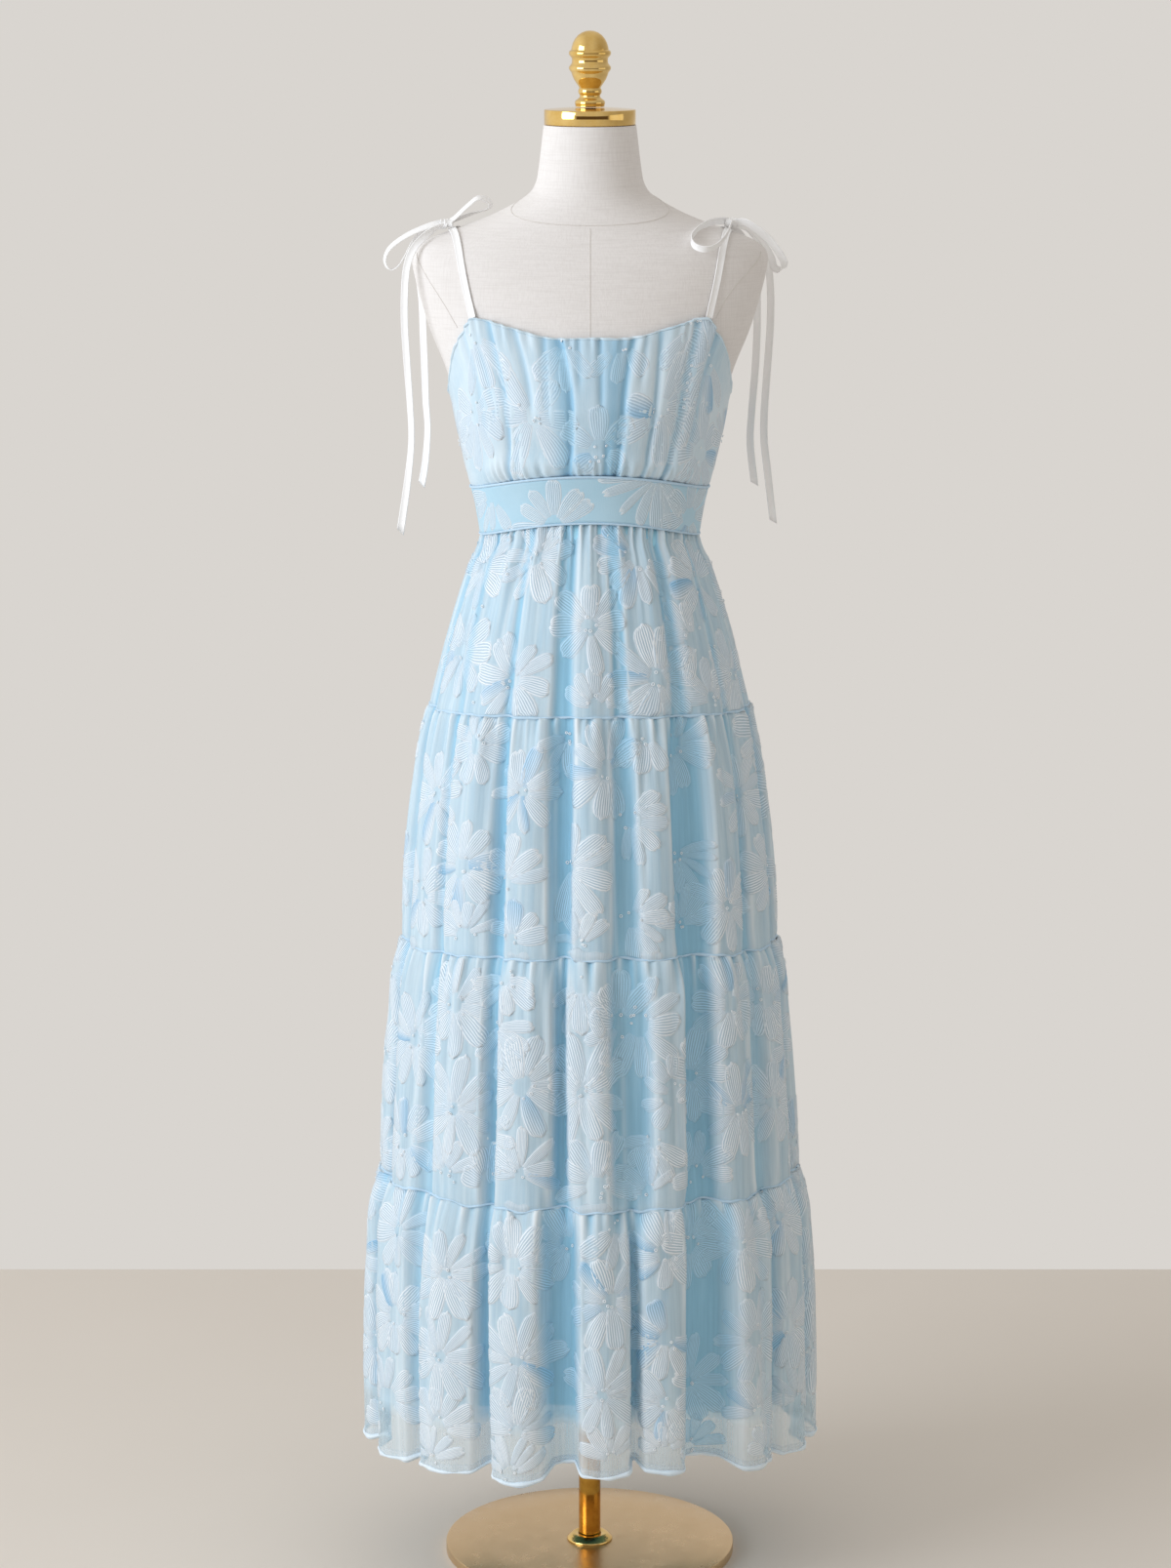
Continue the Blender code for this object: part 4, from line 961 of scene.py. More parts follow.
# flowers that show from the front: degrees from the centre front, height and then petals, reach, the way
# the first petal points (0 is to the viewer's right, 90 down), blue petals, and the part of a turn they
# spread over, if it isn't the whole; height and reach in millimetres
flowers = {
    1: [
        (-30, 983, 9, 44, 10, 1), (26, 983, 9, 50, 0, 1), (0, 1033, 7, 40, 40, 0),
        (-26, 1098, 8, 42, 30, 0), (22, 1097, 7, 44, 20, 3, 200), (58, 1080, 7, 40, 60, 2, 260),
        (45, 1022, 5, 42, 110, 0, 150), (2, 957, 4, 36, 200, 0, 140), (-62, 1010, 8, 44, 0, 1),
        (-60, 1095, 7, 40, 45, 0), (68, 985, 8, 44, 20, 1), (50, 962, 4, 38, 190, 0, 140)],
    2: [
        (6, 893, 7, 48, 70, 2, 250), (-41, 918, 7, 38, 20, 0), (-22, 872, 8, 42, 50, 3),
        (-43, 790, 9, 48, 20, 3), (-27, 778, 5, 44, 190, 0, 160), (-6, 790, 6, 52, -80, 0, 190),
        (14, 842, 5, 42, -50, 0, 150), (14, 738, 5, 40, -60, 0, 150), (32, 916, 5, 44, -60, 0, 160),
        (31, 802, 5, 46, -20, 0, 130), (46, 748, 8, 44, 0, 1), (60, 862, 8, 44, 15, 1),
        (20, 930, 3, 38, 60, 0, 80), (-60, 860, 8, 46, 25, 1), (-64, 752, 8, 46, 0, 1),
        (-24, 715, 4, 40, 200, 1, 150), (72, 775, 8, 44, 40, 1), (-8, 925, 3, 36, 80, 0, 90),
        (-41, 718, 5, 40, 185, 0, 150), (-3, 712, 4, 36, 190, 0, 130), (32, 728, 5, 40, 190, 0, 150)],
    3: [
        (-2, 563, 9, 54, 10, 0), (-3, 668, 4, 50, 40, 0, 110), (15, 630, 5, 48, -70, 0, 190),
        (18, 512, 4, 40, 40, 0, 130), (24, 560, 4, 36, 120, 0, 150), (9, 628, 5, 46, 130, 0, 180),
        (33, 572, 8, 46, 0, 0), (44, 645, 8, 46, 20, 1), (45, 535, 9, 48, 5, 3), (63, 640, 8, 44, 0, 1),
        (63, 532, 8, 46, 30, 0), (-41, 645, 9, 48, 15, 0), (-28, 625, 5, 46, -10, 0, 140),
        (-19, 570, 9, 50, 0, 1), (-40, 538, 9, 50, 25, 0), (-30, 512, 4, 44, -30, 0, 120),
        (-19, 480, 6, 44, 170, 1, 210), (2, 470, 6, 48, 165, 0, 210), (-61, 600, 9, 48, 0, 1),
        (-62, 490, 8, 46, 20, 2), (33, 470, 5, 44, 180, 0, 180), (75, 585, 8, 44, 10, 1),
        (-43, 468, 5, 42, 185, 0, 150), (-26, 674, 5, 42, 10, 0, 160), (-31, 462, 3, 36, 200, 0, 90),
        (17, 458, 4, 38, 190, 0, 130)],
    4: [
        (-39, 362, 9, 52, 0, 0), (-20, 382, 9, 52, 20, 0), (5, 343, 9, 52, 10, 3),
        (7, 425, 3, 44, 60, 0, 80), (20, 395, 6, 46, 60, 2, 220), (19, 298, 6, 48, 20, 4, 230),
        (42, 393, 9, 52, 15, 0), (46, 285, 9, 50, 0, 0), (-40, 268, 9, 54, 30, 0),
        (-18, 272, 9, 54, 0, 1), (3, 236, 9, 52, 5, 0), (-18, 195, 6, 46, 180, 0, 200),
        (29, 235, 8, 48, 40, 0), (29, 400, 7, 46, 10, 0), (62, 408, 8, 46, 30, 1), (62, 285, 9, 48, 0, 2),
        (-59, 300, 9, 48, 20, 1), (-59, 395, 8, 46, 45, 0), (-6, 400, 5, 42, 100, 0, 180),
        (46, 203, 6, 44, 175, 1, 220), (-40, 190, 5, 42, 190, 0, 180), (66, 200, 6, 44, 180, 0, 200),
        (-62, 205, 6, 44, 180, 0, 200), (-20, 150, 5, 40, 195, 0, 150), (30, 152, 5, 38, 190, 0, 160),
        (5, 162, 4, 40, 200, 0, 130), (-43, 152, 5, 38, 190, 0, 150), (51, 150, 4, 36, 200, 0, 130),
        (-75, 152, 4, 36, 200, 0, 140), (19, 224, 6, 44, 30, 1, 210), (19, 165, 4, 36, 190, 0, 140)],
}


def arcTable(place):
    # how far round the cloth each angle lies, at seventeen shares of the way down
    angles = np.linspace(-270, 450, 2881)
    return angles, np.array([distancesAlong(place(angles, np.full(len(angles), q)))
                             for q in np.linspace(0, 1, 17)])


def angleAfter(table, angle, q, sideways):
    # the angle that lies sideways metres along the cloth from the given one
    angles, lengths = table
    at = np.clip(q, 0, 1) * (len(lengths) - 1)
    low = np.minimum(at.astype(int), len(lengths) - 2)
    found = np.zeros(len(q))
    for row in range(len(lengths)):
        for base, weight in ((low, 1 - (at - low)), (low + 1, at - low)):
            chosen = base == row
            if chosen.any():
                start = np.interp(angle[chosen], angles, lengths[row])
                found[chosen] += weight[chosen] * np.interp(start + sideways[chosen], lengths[row], angles)
    return found


def surfaceAndNormal(place, angle, q):
    here = place(angle, q)
    aside = place(angle + 0.15, q) - place(angle - 0.15, q)
    low, high = np.clip(q - 0.004, 0, 1), np.clip(q + 0.004, 0, 1)
    down = place(angle, high) - place(angle, low)
    return here, unit(np.cross(down, aside))


def petalWidth(along):
    # like a finger: narrower at its base, of one width from its middle on, and blunt and round at its tip
    along = np.asarray(along)
    widening = 0.42 + 0.58 * np.sin(np.pi / 2 * np.clip(along / 0.62, 0, 1))
    tip = np.sqrt(np.clip(1 - (np.clip(along - 0.76, 0, 1) / 0.243) ** 2.4, 0, 1))
    return widening * tip


def embroider(name, place, height, blooms, finish, shades=None, lift=1.0, wider=1.0):
    # height is the cloth's own height; blooms are rows that bloomsOf or scatter gives
    table = arcTable(place)
    u, v = np.meshgrid(petal["along"], petal["across"], indexing="ij")
    raised = np.tile(np.array(petal["raised"]), (len(petal["along"]), 1))
    raised[0], raised[-1] = petal["ends"]
    cells = gridFaces(len(petal["along"]), len(petal["across"]), False)
    angles, shares, heights, faces, uvs, tints, glows, spots = [], [], [], [], [], [], [], []
    for angle, share, count, reach, turn, blues, spread in blooms:
        reach, count = reach * petal["larger"], round(count * petal["more"])
        heart = petal["heart"] + petal["heartMore"] * luck.random()
        blue = set(luck.choice(count, min(blues, count), replace=False).tolist())
        step = spread / (count if spread == 360 else count - 1)
        for i in range(count):
            length = (reach - heart) * (0.86 + 0.26 * luck.random())
            width = math.radians(step) * (heart + 0.60 * length) * luck.uniform(0.66, 1.26)
            width = min(width, wider * petal["widest"] * luck.uniform(0.88, 1.06))
            way = math.radians(turn + step * i + luck.uniform(-5, 5))
            start = heart * luck.uniform(0.5, 1.3)
            bend = luck.uniform(-0.12, 0.12) * length
            r = start + length * u * (1 + 0.03 * np.sin(3 * v + i))
            lateral = width / 2 * petalWidth(u) * v + bend * u * u
            aside = r * math.cos(way) - lateral * math.sin(way)
            down = r * math.sin(way) + lateral * math.cos(way)
            faces.append(cells + sum(len(a) for a in angles))
            q = np.clip(share + down.ravel() / height, 0.006, 0.988)
            shares.append(q)
            angles.append(angleAfter(table, np.full(q.size, float(angle)), q, aside.ravel()))
            heights.append((raised * lift * (1 + 0.25 * luck.random())).ravel())
            tint = (0.55 + 0.35 * luck.random()) if i in blue else 0.12 * luck.random()
            across = 0.9 * (v * luck.uniform(-1, 1))
            across = 0.5 + across + 0.9 * (u - 0.5) * luck.uniform(-1, 1)
            tints.append((tint * np.clip(across, 0, 1)).ravel())
            glows.append(np.full(q.size, luck.random()))
            uvs.append(np.stack([u.ravel(), v.ravel()], -1)[cells].reshape(-1, 2))
        for _ in range(2 + int(3 * luck.random())):
            way, far = luck.uniform(0, 2 * math.pi), heart * luck.uniform(0.5, 1.6)
            spots.append((angle, share + far * math.sin(way) / height, far * math.cos(way)))
    angle, q, high = (np.concatenate(parts) for parts in (angles, shares, heights))
    here, normal = surfaceAndNormal(place, angle, q)
    points = here + normal * high[:, None]
    piece = addPiece(name, points, np.concatenate(faces), finish, np.concatenate(uvs), uvName="petal")
    setFloats(piece.data, "tint", np.concatenate(tints))
    setFloats(piece.data, "glow", np.concatenate(glows))
    # painted shade: the threads down in the folds are coloured as the shaded cloth
    setFloats(piece.data, "recessShade", shades(angle, q)[0] if shades else 0 * q)
    return declare(piece, "embroidered_organza"), table, spots


def bloomsOf(rows, shareOf=lambda height: height):
    # the tables' rows with the share of the way down, reach in metres, and a whole turn if none is given
    return [(angle, shareOf(height), count, reach / 1000, turn, blues, *(spread or [360]))
            for angle, height, count, reach, turn, blues, *spread in rows]


def scatter(place, height, placed, spacing, sides):
    # flowers for the sides and the back, no closer than the spacing to one another
    angles, lengths = arcTable(place)
    middle = lengths[len(lengths) // 2]
    taken = [(np.interp(a, angles, middle), share * height) for a, share, *_ in placed]
    once = np.interp(360, angles, middle) - np.interp(0, angles, middle)
    made = []
    for _ in range(3000):
        a, share = luck.uniform(*sides), luck.uniform(0.04, 0.97)
        s, d = np.interp(a, angles, middle), share * height
        if all(min(abs(s - x), once - abs(s - x)) ** 2 + (d - y) ** 2 > spacing ** 2 for x, y in taken):
            taken.append((s, d))
            made.append((a, share, int(luck.integers(8, 10)), luck.uniform(0.044, 0.052),
                         luck.uniform(0, 60), int(luck.integers(0, 3)), 360))
    return made


def makeSequins(name, place, spots, table, size):
    # moulded rings sewn flat on the cloth
    angle, q, aside = (np.array(column) for column in zip(*spots))
    q = np.clip(q, 0.01, 0.985)
    here, normal = surfaceAndNormal(place, angleAfter(table, angle, q, aside), q)
    points, faces = [], []
    rim, tube = np.arange(8) * math.pi / 4, np.arange(4) * math.pi / 2
    for centre, out in zip(here, normal):
        out = Vector(out + luck.uniform(-0.3, 0.3, 3)).normalized()
        first = out.orthogonal().normalized()
        second = out.cross(first)
        start = len(points)
        radius = size * luck.uniform(0.8, 1.15)
        for t in rim:
            way = math.cos(t) * first + math.sin(t) * second
            points += [Vector(centre) + out * (sequin["stand"] + sequin["flat"] * math.sin(s))
                       + way * (radius + sequin["ring"] * math.cos(s)) for s in tube]
        for i in range(8):
            a, b = start + 4 * i, start + 4 * ((i + 1) % 8)
            faces += [(a + j, a + (j + 1) % 4, b + (j + 1) % 4, b + j) for j in range(4)]
    return declare(addPiece(name, [tuple(p) for p in points], faces, sequinClear), "embroidered_organza")


def makeEmbroidery():
    made = {}
    for number, place in tierPlaces.items():
        high, low = skirt["seams"][number - 1:number + 1]
        own = bloomsOf(flowers[number], lambda z: (high - z / 1000) / (high - low))
        tall = (high - low) * 1.01
        extra = scatter(place, tall, own, petal["spacing"], petal["hidden"])
        piece, table, spots = embroider(f"embroideryTier{number}", place, tall, own + extra, stitches,
                                        tierShades(number))
        if number == 1:
            spots += [(a, q, 0.0) for a, q in zip(luck.uniform(-80, 260, 45), luck.uniform(0.05, 0.95, 45))]
        made[number] = [piece, makeSequins(f"sequinsTier{number}", place, spots, table, sequin["skirt"])]
        print("  ", number, len(own), "+", len(extra), "flowers")
    return made


# on the bodice and the band the second value is the share of the way down
bodiceFlowers = [
    (-24, 0.56, 3, 50, -48, 0, 96), (-24, 0.56, 3, 50, 125, 0, 105), (29, 0.52, 4, 52, -62, 0, 138),
    (29, 0.56, 2, 44, 155, 1, 50), (4, 0.8, 3, 44, 215, 0, 105), (4, 0.8, 2, 30, 30, 1, 110),
    (-9, 0.02, 3, 44, 55, 0, 80), (11, 0.02, 3, 40, 50, 0, 80), (-55, 0.5, 6, 48, -10, 0, 230),
    (-44, 0.1, 3, 42, 40, 0, 90), (50, 0.2, 5, 42, 20, 1, 220), (58, 0.76, 7, 44, 0, 1, 300),
    (40, 0.02, 3, 38, 60, 0, 80), (88, 0.5, 8, 44, 0, 1), (-88, 0.5, 8, 44, 10, 0),
    (125, 0.5, 9, 48, 0, 1), (165, 0.5, 9, 48, 30, 2), (205, 0.45, 9, 48, 15, 0), (240, 0.6, 8, 46, 0, 1)]
bandFlowers = [
    (33, -0.1, 7, 56, 40, 0, 160), (-18, 1.05, 5, 44, 180, 0, 150), (-56, 0.2, 4, 40, 70, 0, 110),
    (60, 0.6, 6, 38, 0, 1), (110, 0.4, 8, 38, 30, 0), (150, 0.6, 8, 38, 0, 1), (200, 0.4, 8, 38, 0, 0),
    (245, 0.5, 8, 38, 0, 0)]
skirtEmbroidery = makeEmbroidery()
bodiceStitching, bodiceArcs, bodiceSpots = embroider(
    "embroideryBodice", bodicePlace, body["clothTall"], bloomsOf(bodiceFlowers), closeStitches, bodiceShades,
    lift=0.4)
bodiceSpots += [(41.5, 0.28 + 0.05 * i, 0.001 * (i % 2)) for i in range(6)]
bodiceSequins = makeSequins("sequinsBodice", bodicePlace, bodiceSpots, bodiceArcs, sequin["bodice"])
bandStitching, *_ = embroider("embroideryBand", bandPlace, body["bandTall"], bloomsOf(bandFlowers),
                              bandStitches, lift=0.4, wider=0.8)
print("embroidery made")

# Ribbons ---

ribbon = {
    "wide": 0.008, "cut": 0.010,  # as modelled, with its edges curled, and flat
    # half section of the ribbon: its two edges are rolled, which makes them thicker
    "section": [(-1.0, 0.00012), (-0.93, 0.00058), (-0.80, 0.00062), (-0.68, 0.00030), (0.0, 0.00026),
                (0.68, 0.00030), (0.80, 0.00062), (0.93, 0.00058), (1.0, 0.00012)],
    "strapFoot": {"left": -0.1210, "right": 0.1225}, "strapHead": {"left": -0.1440, "right": 0.1450},
    "backFoot": 0.0900, "frontTurns": (0.9, 89.2), "backTurns": (225.1, 91.8),
    "chest": 1.36, "clear": 0.0019, "frontOut": 0.0026, "backOut": 0.0041,
    "knot": {"left": (-0.1492, 0.0, 1.4530), "right": (0.1465, 0.0, 1.4541)},
    # the knot's two wraps: how far to the side, how slanted, how large; and half a wrap's depth and height
    "wraps": ((-0.0024, 0.25, 1.0), (0.0026, -0.2, 0.94)), "wrapDeep": 0.0056, "wrapTall": 0.0042,
    "slant": 0.003,  # of the ties' cut ends
}
# the bows' loops: where the ribbon's width points on the way round, and the route
loops = {
    "leftLow": dict(across=[(0.0, 0.7, 0.7), (-0.1, 0.8, 0.5), (-0.4, 0.85, 0.1), (0.1, 0.9, -0.4),
                            (0.1, 0.8, -0.55)], route=[
        (-1500, 0, 14542), (-1656, -40, 14512), (-1890, -60, 14415), (-2072, -60, 14285),
        (-2132, -50, 14155), (-2090, -40, 14058), (-2010, -30, 14075), (-1930, -10, 14175),
        (-1800, 0, 14395), (-1660, 0, 14475), (-1500, 0, 14496)]),
    "leftHigh": dict(across=[(-0.3, 0.85, 0.35), (0.1, 0.85, 0.5), (0.65, 0.75, 0.1),
                             (0.15, 0.85, -0.5)], route=[
        (-1490, -20, 14530), (-1400, -20, 14590), (-1281, 0, 14700), (-1165, 30, 14785),
        (-1070, 80, 14765), (-1035, 130, 14700), (-1090, 160, 14655), (-1230, 130, 14620),
        (-1380, 60, 14570), (-1490, 30, 14525)]),
    "rightLow": dict(across=[(0.0, -0.25, 0.95), (0.0, -0.45, 0.9), (0.1, -0.6, 0.8),
                             (0.2, -0.3, 0.9)], route=[
        (1465, 10, 14530), (1383, -60, 14560), (1240, -200, 14550), (1105, -400, 14490),
        (1040, -560, 14415), (1075, -670, 14345), (1185, -700, 14315), (1300, -630, 14345),
        (1390, -480, 14425), (1445, -290, 14510), (1465, -60, 14545)]),
    "rightHigh": dict(across=[(0.25, -0.2, 0.95), (0.5, -0.2, 0.85), (0.8, -0.1, 0.5), (0.2, 0.6, 0.8),
                              (0.4, 0.3, 0.85)], route=[
        (1470, -20, 14530), (1600, -70, 14545), (1720, -100, 14480), (1850, -100, 14375),
        (1965, -80, 14230), (2020, -30, 14115), (1995, 50, 14045), (1925, 120, 14060), (1890, 180, 14170),
        (1800, 200, 14330), (1690, 170, 14445), (1580, 110, 14500), (1470, 30, 14520)]),
}
ties = {  # places on the way down, and the way the ribbon's width points there, in degrees from +X
    "tieLeftLong": ("tie_left_long", [
        (-1520, -106, 14524, 60), (-1610, -150, 14482, 40), (-1715, -200, 14405, 20),
        (-1815, -250, 14300, 0), (-1880, -280, 14155, -12), (-1912, -300, 13945, -16),
        (-1922, -310, 13557, -18), (-1902, -300, 13158, -22), (-1870, -290, 12650, -35),
        (-1860, -300, 12290, -38), (-1902, -310, 11880, -22), (-1982, -320, 11340, -8)]),
    "tieLeftShort": ("tie_left_short", [
        (-1515, 92, 14526, -60), (-1600, 180, 14495, -60), (-1700, 270, 14425, -50),
        (-1790, 350, 14270, -45), (-1805, 390, 14040, -35), (-1765, 390, 13688, -25),
        (-1752, 370, 13320, -20), (-1740, 350, 12995, -20), (-1730, 340, 12650, -30),
        (-1712, 330, 12340, -35), (-1740, 330, 11990, -25), (-1780, 330, 11755, -20)]),
    "tieRightLong": ("tie_right_long", [
        (1485, 91, 14550, 60), (1575, 210, 14520, 60), (1700, 350, 14400, 50), (1835, 430, 14200, 40),
        (1890, 430, 13945, 20), (1900, 400, 13475, 5), (1862, 380, 12852, 0), (1842, 370, 12525, -10),
        (1842, 360, 12228, -5), (1882, 350, 11880, 10), (1945, 350, 11355, 18)]),
    "tieRightShort": ("tie_right_short", [
        (1440, 78, 14514, 10), (1480, 230, 14470, 20), (1570, 380, 14390, 30), (1680, 500, 14220, 45),
        (1745, 550, 14000, 40), (1765, 550, 13790, 30), (1765, 520, 13400, 10), (1750, 500, 12995, 0),
        (1714, 480, 12525, -20), (1700, 470, 12177, -10), (1748, 460, 11745, 15)]),
}


def smoothRoute(points, steps):
    # points on one smooth curve through the given rows, whatever columns they have
    rows = np.asarray(points, float)
    padded = np.concatenate([[2 * rows[0] - rows[1]], rows, [2 * rows[-1] - rows[-2]]])
    made = []
    for before, a, b, after in zip(padded, padded[1:], padded[2:], padded[3:]):
        for t in np.arange(steps) / steps:
            made.append(0.5 * (2 * a + t * (b - before) + t * t * (2 * before - 5 * a + 4 * b - after)
                               + t ** 3 * (3 * a - before - 3 * b + after)))
    return np.array(made + [rows[-1]])


def ribbonMesh(route, across, cutEnd=0.0):
    # the closed ribbon along a route: points, faces, uvs and length
    section = np.array(ribbon["section"])
    side = np.concatenate([section, (section * (1, -1))[::-1]])
    half = ribbon["wide"] / 2
    ahead = unit(np.gradient(route, axis=0))
    wide = unit(across - ahead * np.sum(across * ahead, axis=1, keepdims=True))
    up = np.cross(ahead, wide)
    rings = route[:, None] + side[None, :, :1] * wide[:, None] * half + side[None, :, 1:] * up[:, None]
    if cutEnd:  # the end is cut at a slant
        rings[-1] += ahead[-1] * (side[:, :1] * cutEnd)
    count = len(side)
    along = distancesAlong(route)
    uvs = gridUvs(uvGrid(side[:, 0] * half, along), True)
    caps = []
    for start, flip in ((0, False), ((len(route) - 1) * count, True)):
        for i in range(count // 2 - 1):
            cell = [start + i, start + i + 1, start + count - 2 - i, start + count - 1 - i]
            caps.append(cell if flip else cell[::-1])
    uvs = np.concatenate([uvs, np.zeros((4 * len(caps), 2))])
    faces = np.concatenate([gridFaces(len(route), count, True), np.array(caps)])
    return rings.reshape(-1, 3), faces, uvs, along[-1]


def makeRibbon(name, node, parts):
    points, faces, uvs, length = [], [], [], 0.0
    for part in parts:
        partPoints, partFaces, partUvs, far = ribbonMesh(*part)
        faces.append(partFaces + sum(len(made) for made in points))
        points.append(partPoints)
        uvs.append(partUvs)
        length += far
    piece = addPiece(name, np.concatenate(points), np.concatenate(faces), ribbonWhite, np.concatenate(uvs))
    declare(piece, "white_ribbon", node)
    print("  ", name, "length", round(length, 3))


def onForm(x, turn, lift):
    # the form's surface as seen from a point inside its chest, found by halving
    way = np.array([0.0, -math.cos(math.radians(turn)), math.sin(math.radians(turn))])
    start = np.array([x, 0.0, ribbon["chest"]])
    inside, outside = 0.0, 0.2
    for _ in range(40):
        middle = (inside + outside) / 2
        x, y, z = start + way * middle
        wide, front, back = formAt(z)
        if (x / wide) ** 2 + (y / (front if y < 0 else back)) ** 2 < 1:
            inside = middle
        else:
            outside = middle
    return start + way * (outside + lift)


def makeStraps():
    for side in ("left", "right"):
        head = ribbon["strapHead"][side]
        for end, foot, turns, out in (
                ("Front", ribbon["strapFoot"][side], ribbon["frontTurns"], ribbon["frontOut"]),
                ("Back", math.copysign(ribbon["backFoot"], head), ribbon["backTurns"], ribbon["backOut"])):
            rows = []
            for t in np.linspace(0, 1, 17):
                x, turn = foot + t * (head - foot), turns[0] + t * (turns[1] - turns[0])
                lift = ribbon["clear"] + out * max(0.0, 1 - t * 8)
                here = onForm(x, turn, lift)
                rows.append([*here, *(onForm(x + 0.004, turn, lift) - here)])
            rows = smoothRoute(rows, 4)
            makeRibbon(f"strap{end}{side.title()}", f"strap_{end.lower()}_{side}",
                       [(rows[:, :3], rows[:, 3:])])


def knotParts(side):
    # the ribbon wraps twice round the crossing of the loops
    x, y, z = ribbon["knot"][side]
    parts = []
    for shift, tilt, size in ribbon["wraps"]:
        route, across = [], []
        for t in np.linspace(0, 2 * math.pi * 0.97, 26):
            out = np.array([shift + tilt * 0.004 * math.sin(t), ribbon["wrapDeep"] * size * math.cos(t),
                            ribbon["wrapTall"] * size * math.sin(t)])
            route.append(np.array([x, y, z]) + out)
            across.append(np.array([1.0, 0.25 * math.sin(t), 0.2 * math.cos(t)]))
        parts.append((np.array(route), np.array(across)))
    return parts


def makeBows():
    for side in ("left", "right"):
        parts = []
        for loop in ("Low", "High"):
            shape = loops[side + loop]
            route = smoothRoute(np.array(shape["route"]) / tenths, 7)
            turns = np.array(shape["across"])
            steps = np.linspace(0, len(turns) - 1, len(route))
            parts.append((route, np.stack([np.interp(steps, np.arange(len(turns)), column)
                                           for column in turns.T], -1)))
        makeRibbon(f"bow{side.title()}", f"bow_{side}", parts + knotParts(side))


def makeTies():
    for name, (node, rows) in ties.items():
        fine = smoothRoute(np.array(rows) / (tenths, tenths, tenths, 1), 6)
        turn = np.radians(fine[:, 3])
        across = np.stack([np.cos(turn), np.sin(turn), 0 * turn], -1)
        makeRibbon(name, node, [(fine[:, :3], across, ribbon["slant"])])


makeStraps()
makeBows()
makeTies()
print("ribbons made")

# Stand ---

stand = {
    "finial": [  # radius and height, from the top down
        (0, 16505), (45, 16500), (88, 16483), (126, 16456), (156, 16420), (177, 16380), (190, 16338),
        (195, 16308), (212, 16298), (219, 16280), (217, 16260), (205, 16242), (190, 16226), (186, 16200),
        (190, 16172), (206, 16150), (218, 16134), (218, 16112), (206, 16092), (194, 16078), (186, 16052),
        (168, 16008), (142, 15968), (119, 15936), (111, 15918), (119, 15904), (123, 15884), (120, 15866),
        (108, 15851), (105, 15836), (110, 15822), (130, 15806), (150, 15792), (157, 15775), (157, 15756),
        (152, 15750), (152, 15729), (0, 15729)],
    "cap": dict(radius=0.0475, low=1.5546, high=1.5701, dome=0.0022, edge=0.0007),
    "pole": dict(radius=0.012, low=0.0103, high=0.8547),
    "flange": dict(radius=0.025, bore=0.0125, low=0.0103, high=0.0173),
    "base": dict(radius=0.158, height=0.010, edge=0.0012),
}


def spun(name, outline, steps, finish, node, slotName, sharp=40):
    # a turned piece: one point is extruded along the outline and spun round the pole's axis
    bpy.ops.object.select_all(action="DESELECT")
    bpy.ops.mesh.primitive_plane_add(size=0.001, location=(outline[0][0], 0, outline[0][1]))
    piece = bpy.context.active_object
    piece.name = piece.data.name = name
    bpy.ops.object.transform_apply(location=True)
    bpy.ops.object.mode_set(mode="EDIT")
    bpy.ops.mesh.select_all(action="SELECT")
    bpy.ops.mesh.merge(type="CENTER")
    for (r, z), (nextR, nextZ) in zip(outline, outline[1:]):
        bpy.ops.mesh.extrude_region_move(TRANSFORM_OT_translate={"value": (nextR - r, 0, nextZ - z)})
    bpy.ops.mesh.select_all(action="SELECT")
    bpy.ops.mesh.spin(steps=steps, angle=2 * math.pi, center=(0, 0, 0), axis=(0, 0, 1))
    bpy.ops.mesh.select_all(action="SELECT")
    bpy.ops.mesh.remove_doubles(threshold=0.00002)
    bpy.ops.mesh.normals_make_consistent(inside=False)
    bpy.ops.object.mode_set(mode="OBJECT")
    bpy.ops.object.shade_smooth_by_angle(angle=math.radians(sharp))
    piece.data.materials.clear()
    piece.data.materials.append(finish)
    declare(piece, slotName, node)


def makeStand():
    finial = [(r / tenths, z / tenths) for r, z in stand["finial"]]
    spun("finial", finial, 72, polishedBrass, "finial", "polished_brass", 50)
    r, low, high, dome, e = stand["cap"].values()
    spun("neckCap", [
        (0.0, high + dome), (0.3 * r, high + 0.9 * dome), (0.6 * r, high + 0.62 * dome),
        (0.85 * r, high + 0.22 * dome), (r - 2 * e, high), (r - 0.6 * e, high - 0.2 * e), (r, high - e),
        (r, low + e), (r - e, low), (0.0, low)], 128, polishedBrass, "neck_cap", "polished_brass", 60)
    r, low, high = stand["pole"].values()
    spun("pole", [(0.0, high), (r, high), (r, low), (0.0, low)], 64, darkerPoleBrass, "pole", "polished_brass")
    r, bore, low, high = stand["flange"].values()
    spun("baseFlange", [
        (bore, high - 0.0004), (bore + 0.0005, high), (r - 0.007, high), (r - 0.0055, high - 0.0005),
        (r - 0.0025, low + 0.0038), (r - 0.0006, low + 0.0022), (r, low + 0.0014), (r, low), (bore, low),
        (bore, high - 0.0004)], 72, polishedBrass, "base_flange", "polished_brass")
    r, h, e = stand["base"].values()
    spun("basePlate", [
        (0.0, h), (0.35 * r, h), (0.7 * r, h), (r - e, h), (r - 0.3 * e, h - 0.3 * e), (r, h - e),
        (r, 0.0005), (r - 0.0005, 0.0), (0.0, 0.0)], 160, satinBrass, "base_plate", "brushed_brass")


makeStand()
print("stand made")
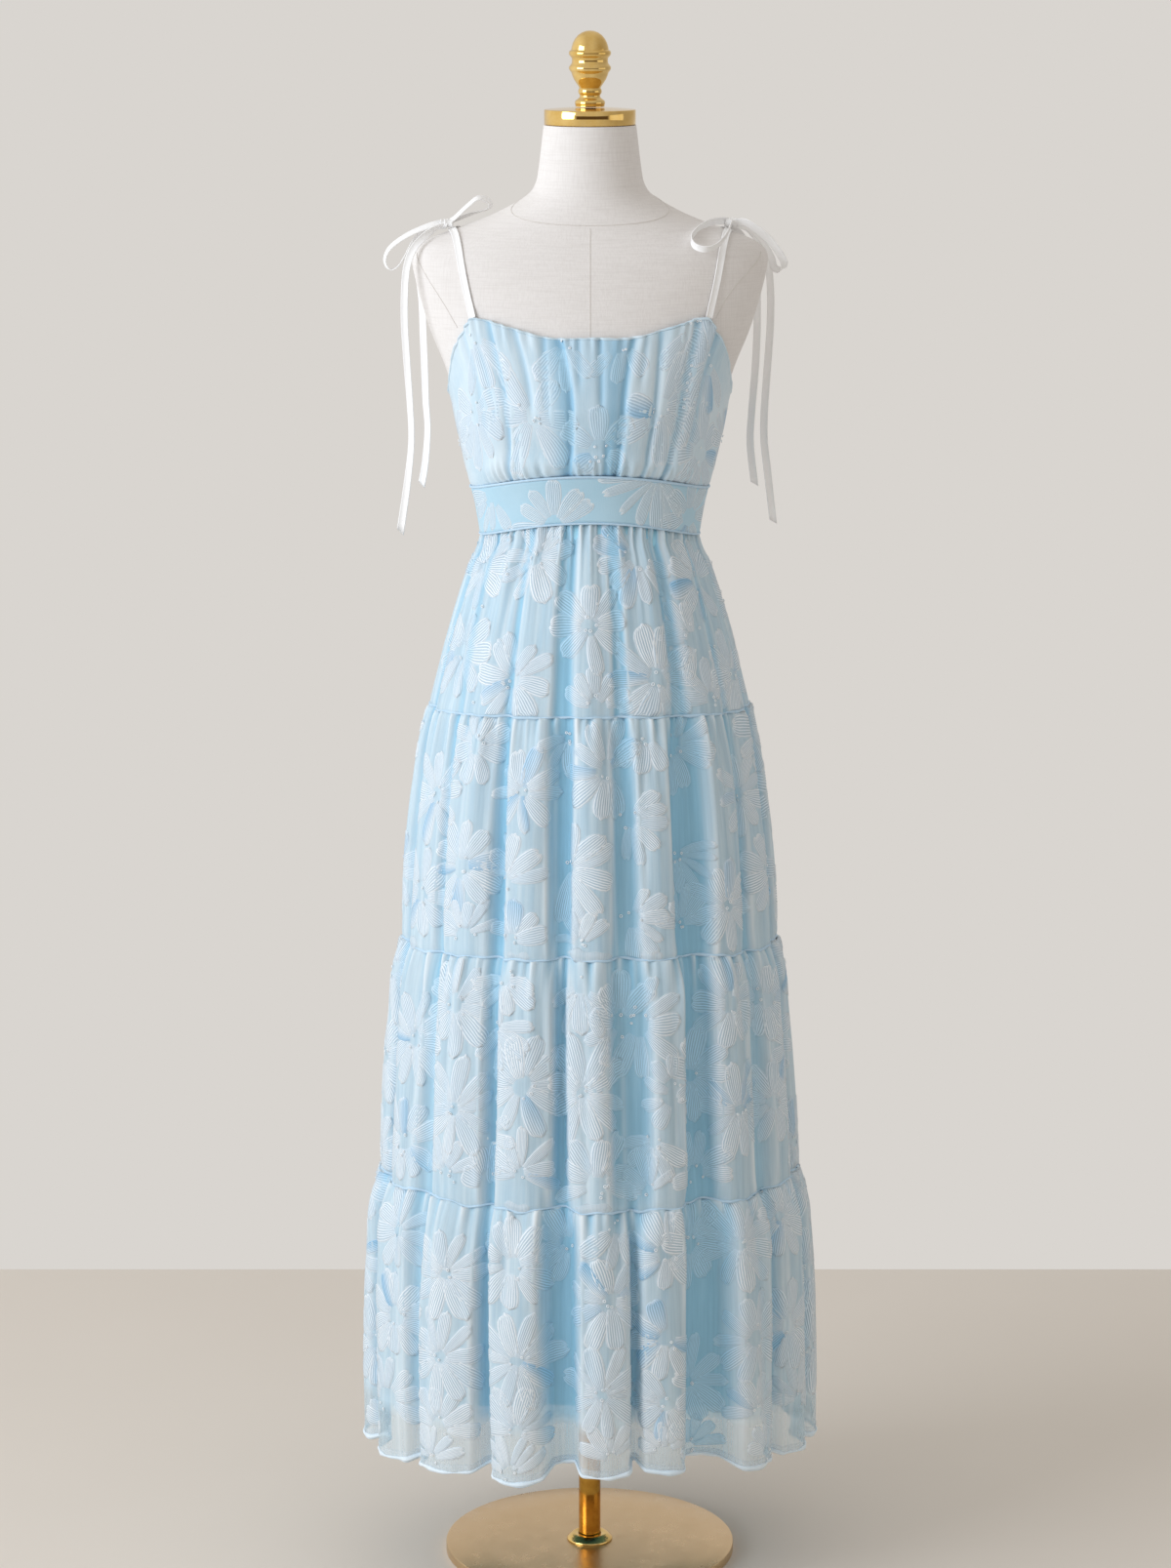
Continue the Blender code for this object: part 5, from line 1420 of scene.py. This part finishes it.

# Floor, light and camera ---

studio = {
    "floor": 1.0, "floorColour": "DDD6CD", "floorStain": "D8D1C8",
    "wallColour": "D9D5D0",
    # other parts of the walls: colour, and where they begin and end in the direction's x, y and height
    "walls": [
        ("FAF8F4", [("x", -0.35, -0.85)]), ("B5AFAA", [("x", 0.25, 0.95)]),
        ("FFFAF0", [("x", 0.74, 0.80), ("y", 0.08, 0.02), ("level", 0.26, 0.20)]),
        ("5E4E3E", [("x", -0.62, -0.54), ("x", 0.76, 0.70), ("y", -0.35, -0.50), ("level", 0.20, 0.14)])],
    "window": dict(place=(-3.05, -1.95, 2.15), aim=(0.0, 0.0, 1.0), size=(2.3, 2.4), power=84.0,
                   colour="F0F6FF"),
    "camera": dict(place=(-0.0046, -4.6, 1.79), down=11.4437, lens=101.158),
}


def areaLight(name, look):
    lamp = bpy.data.lights.new(name, "AREA")
    lamp.shape = "RECTANGLE"
    lamp.size, lamp.size_y = look["size"]
    lamp.energy = look["power"]
    lamp.color = toLinear(look["colour"])[:3]
    thing = bpy.data.objects.new(name, lamp)
    bpy.context.scene.collection.objects.link(thing)
    thing.location = look["place"]
    way = Vector(look["aim"]) - Vector(look["place"])
    thing.rotation_euler = way.to_track_quat("-Z", "Y").to_euler()


def makeFloor():
    bpy.ops.object.select_all(action="DESELECT")
    bpy.ops.mesh.primitive_plane_add(size=2 * studio["floor"], location=(0, 0, -0.0004))
    floor = bpy.context.active_object
    floor.name = "studioFloor"
    bpy.ops.object.transform_apply(location=True)
    # matt pale paint, very slightly cloudy
    paint, tree, shader = newMaterial("paleFloorPaint", {"Roughness": 0.75, "Specular IOR Level": 0.2})
    cloud = noise(tree, addNode(tree, "ShaderNodeTexCoord").outputs["Object"], (3, 3, 3), 3.0)
    tree.links.new(blendColours(tree, ramp(tree, cloud, 0.3, 0.7, 0.0, 0.3), studio["floorColour"],
                                studio["floorStain"]), shader.inputs["Base Color"])
    floor.data.materials.append(paint)


def makeWalls():
    # the walls are bright on the left and darken towards the right, where a second window is; the room
    # in front of the dress is dark
    world = bpy.data.worlds.new("studioWalls")
    world.use_nodes = True
    air = world.node_tree
    way = addNode(air, "ShaderNodeTexCoord").outputs["Generated"]
    x, y, z = addNode(air, "ShaderNodeSeparateXYZ", links={0: way}).outputs
    sources = {"x": x, "y": y, "level": combined(air, "ABSOLUTE", z)}
    walls = studio["wallColour"]
    for colour, edges in studio["walls"]:
        part, *others = [ramp(air, sources[source], low, high) for source, low, high in edges]
        for share in others:
            part = combined(air, "MULTIPLY", part, share)
        walls = blendColours(air, part, walls, colour)
    air.links.new(walls, air.nodes["Background"].inputs["Color"])
    bpy.context.scene.world = world


def makeCamera(look):
    lens = bpy.data.cameras.new("photoCamera")
    lens.sensor_fit = "AUTO"
    lens.sensor_width = 36.0
    lens.lens = look["lens"]
    lens.clip_end = 50.0
    camera = bpy.data.objects.new("photoCamera", lens)
    bpy.context.scene.collection.objects.link(camera)
    camera.location = look["place"]
    camera.rotation_euler = (math.radians(90.0 - look["down"]), 0.0, 0.0)
    bpy.context.scene.camera = camera


makeFloor()
makeWalls()
areaLight("windowLight", studio["window"])
makeCamera(studio["camera"])
print("studio made")
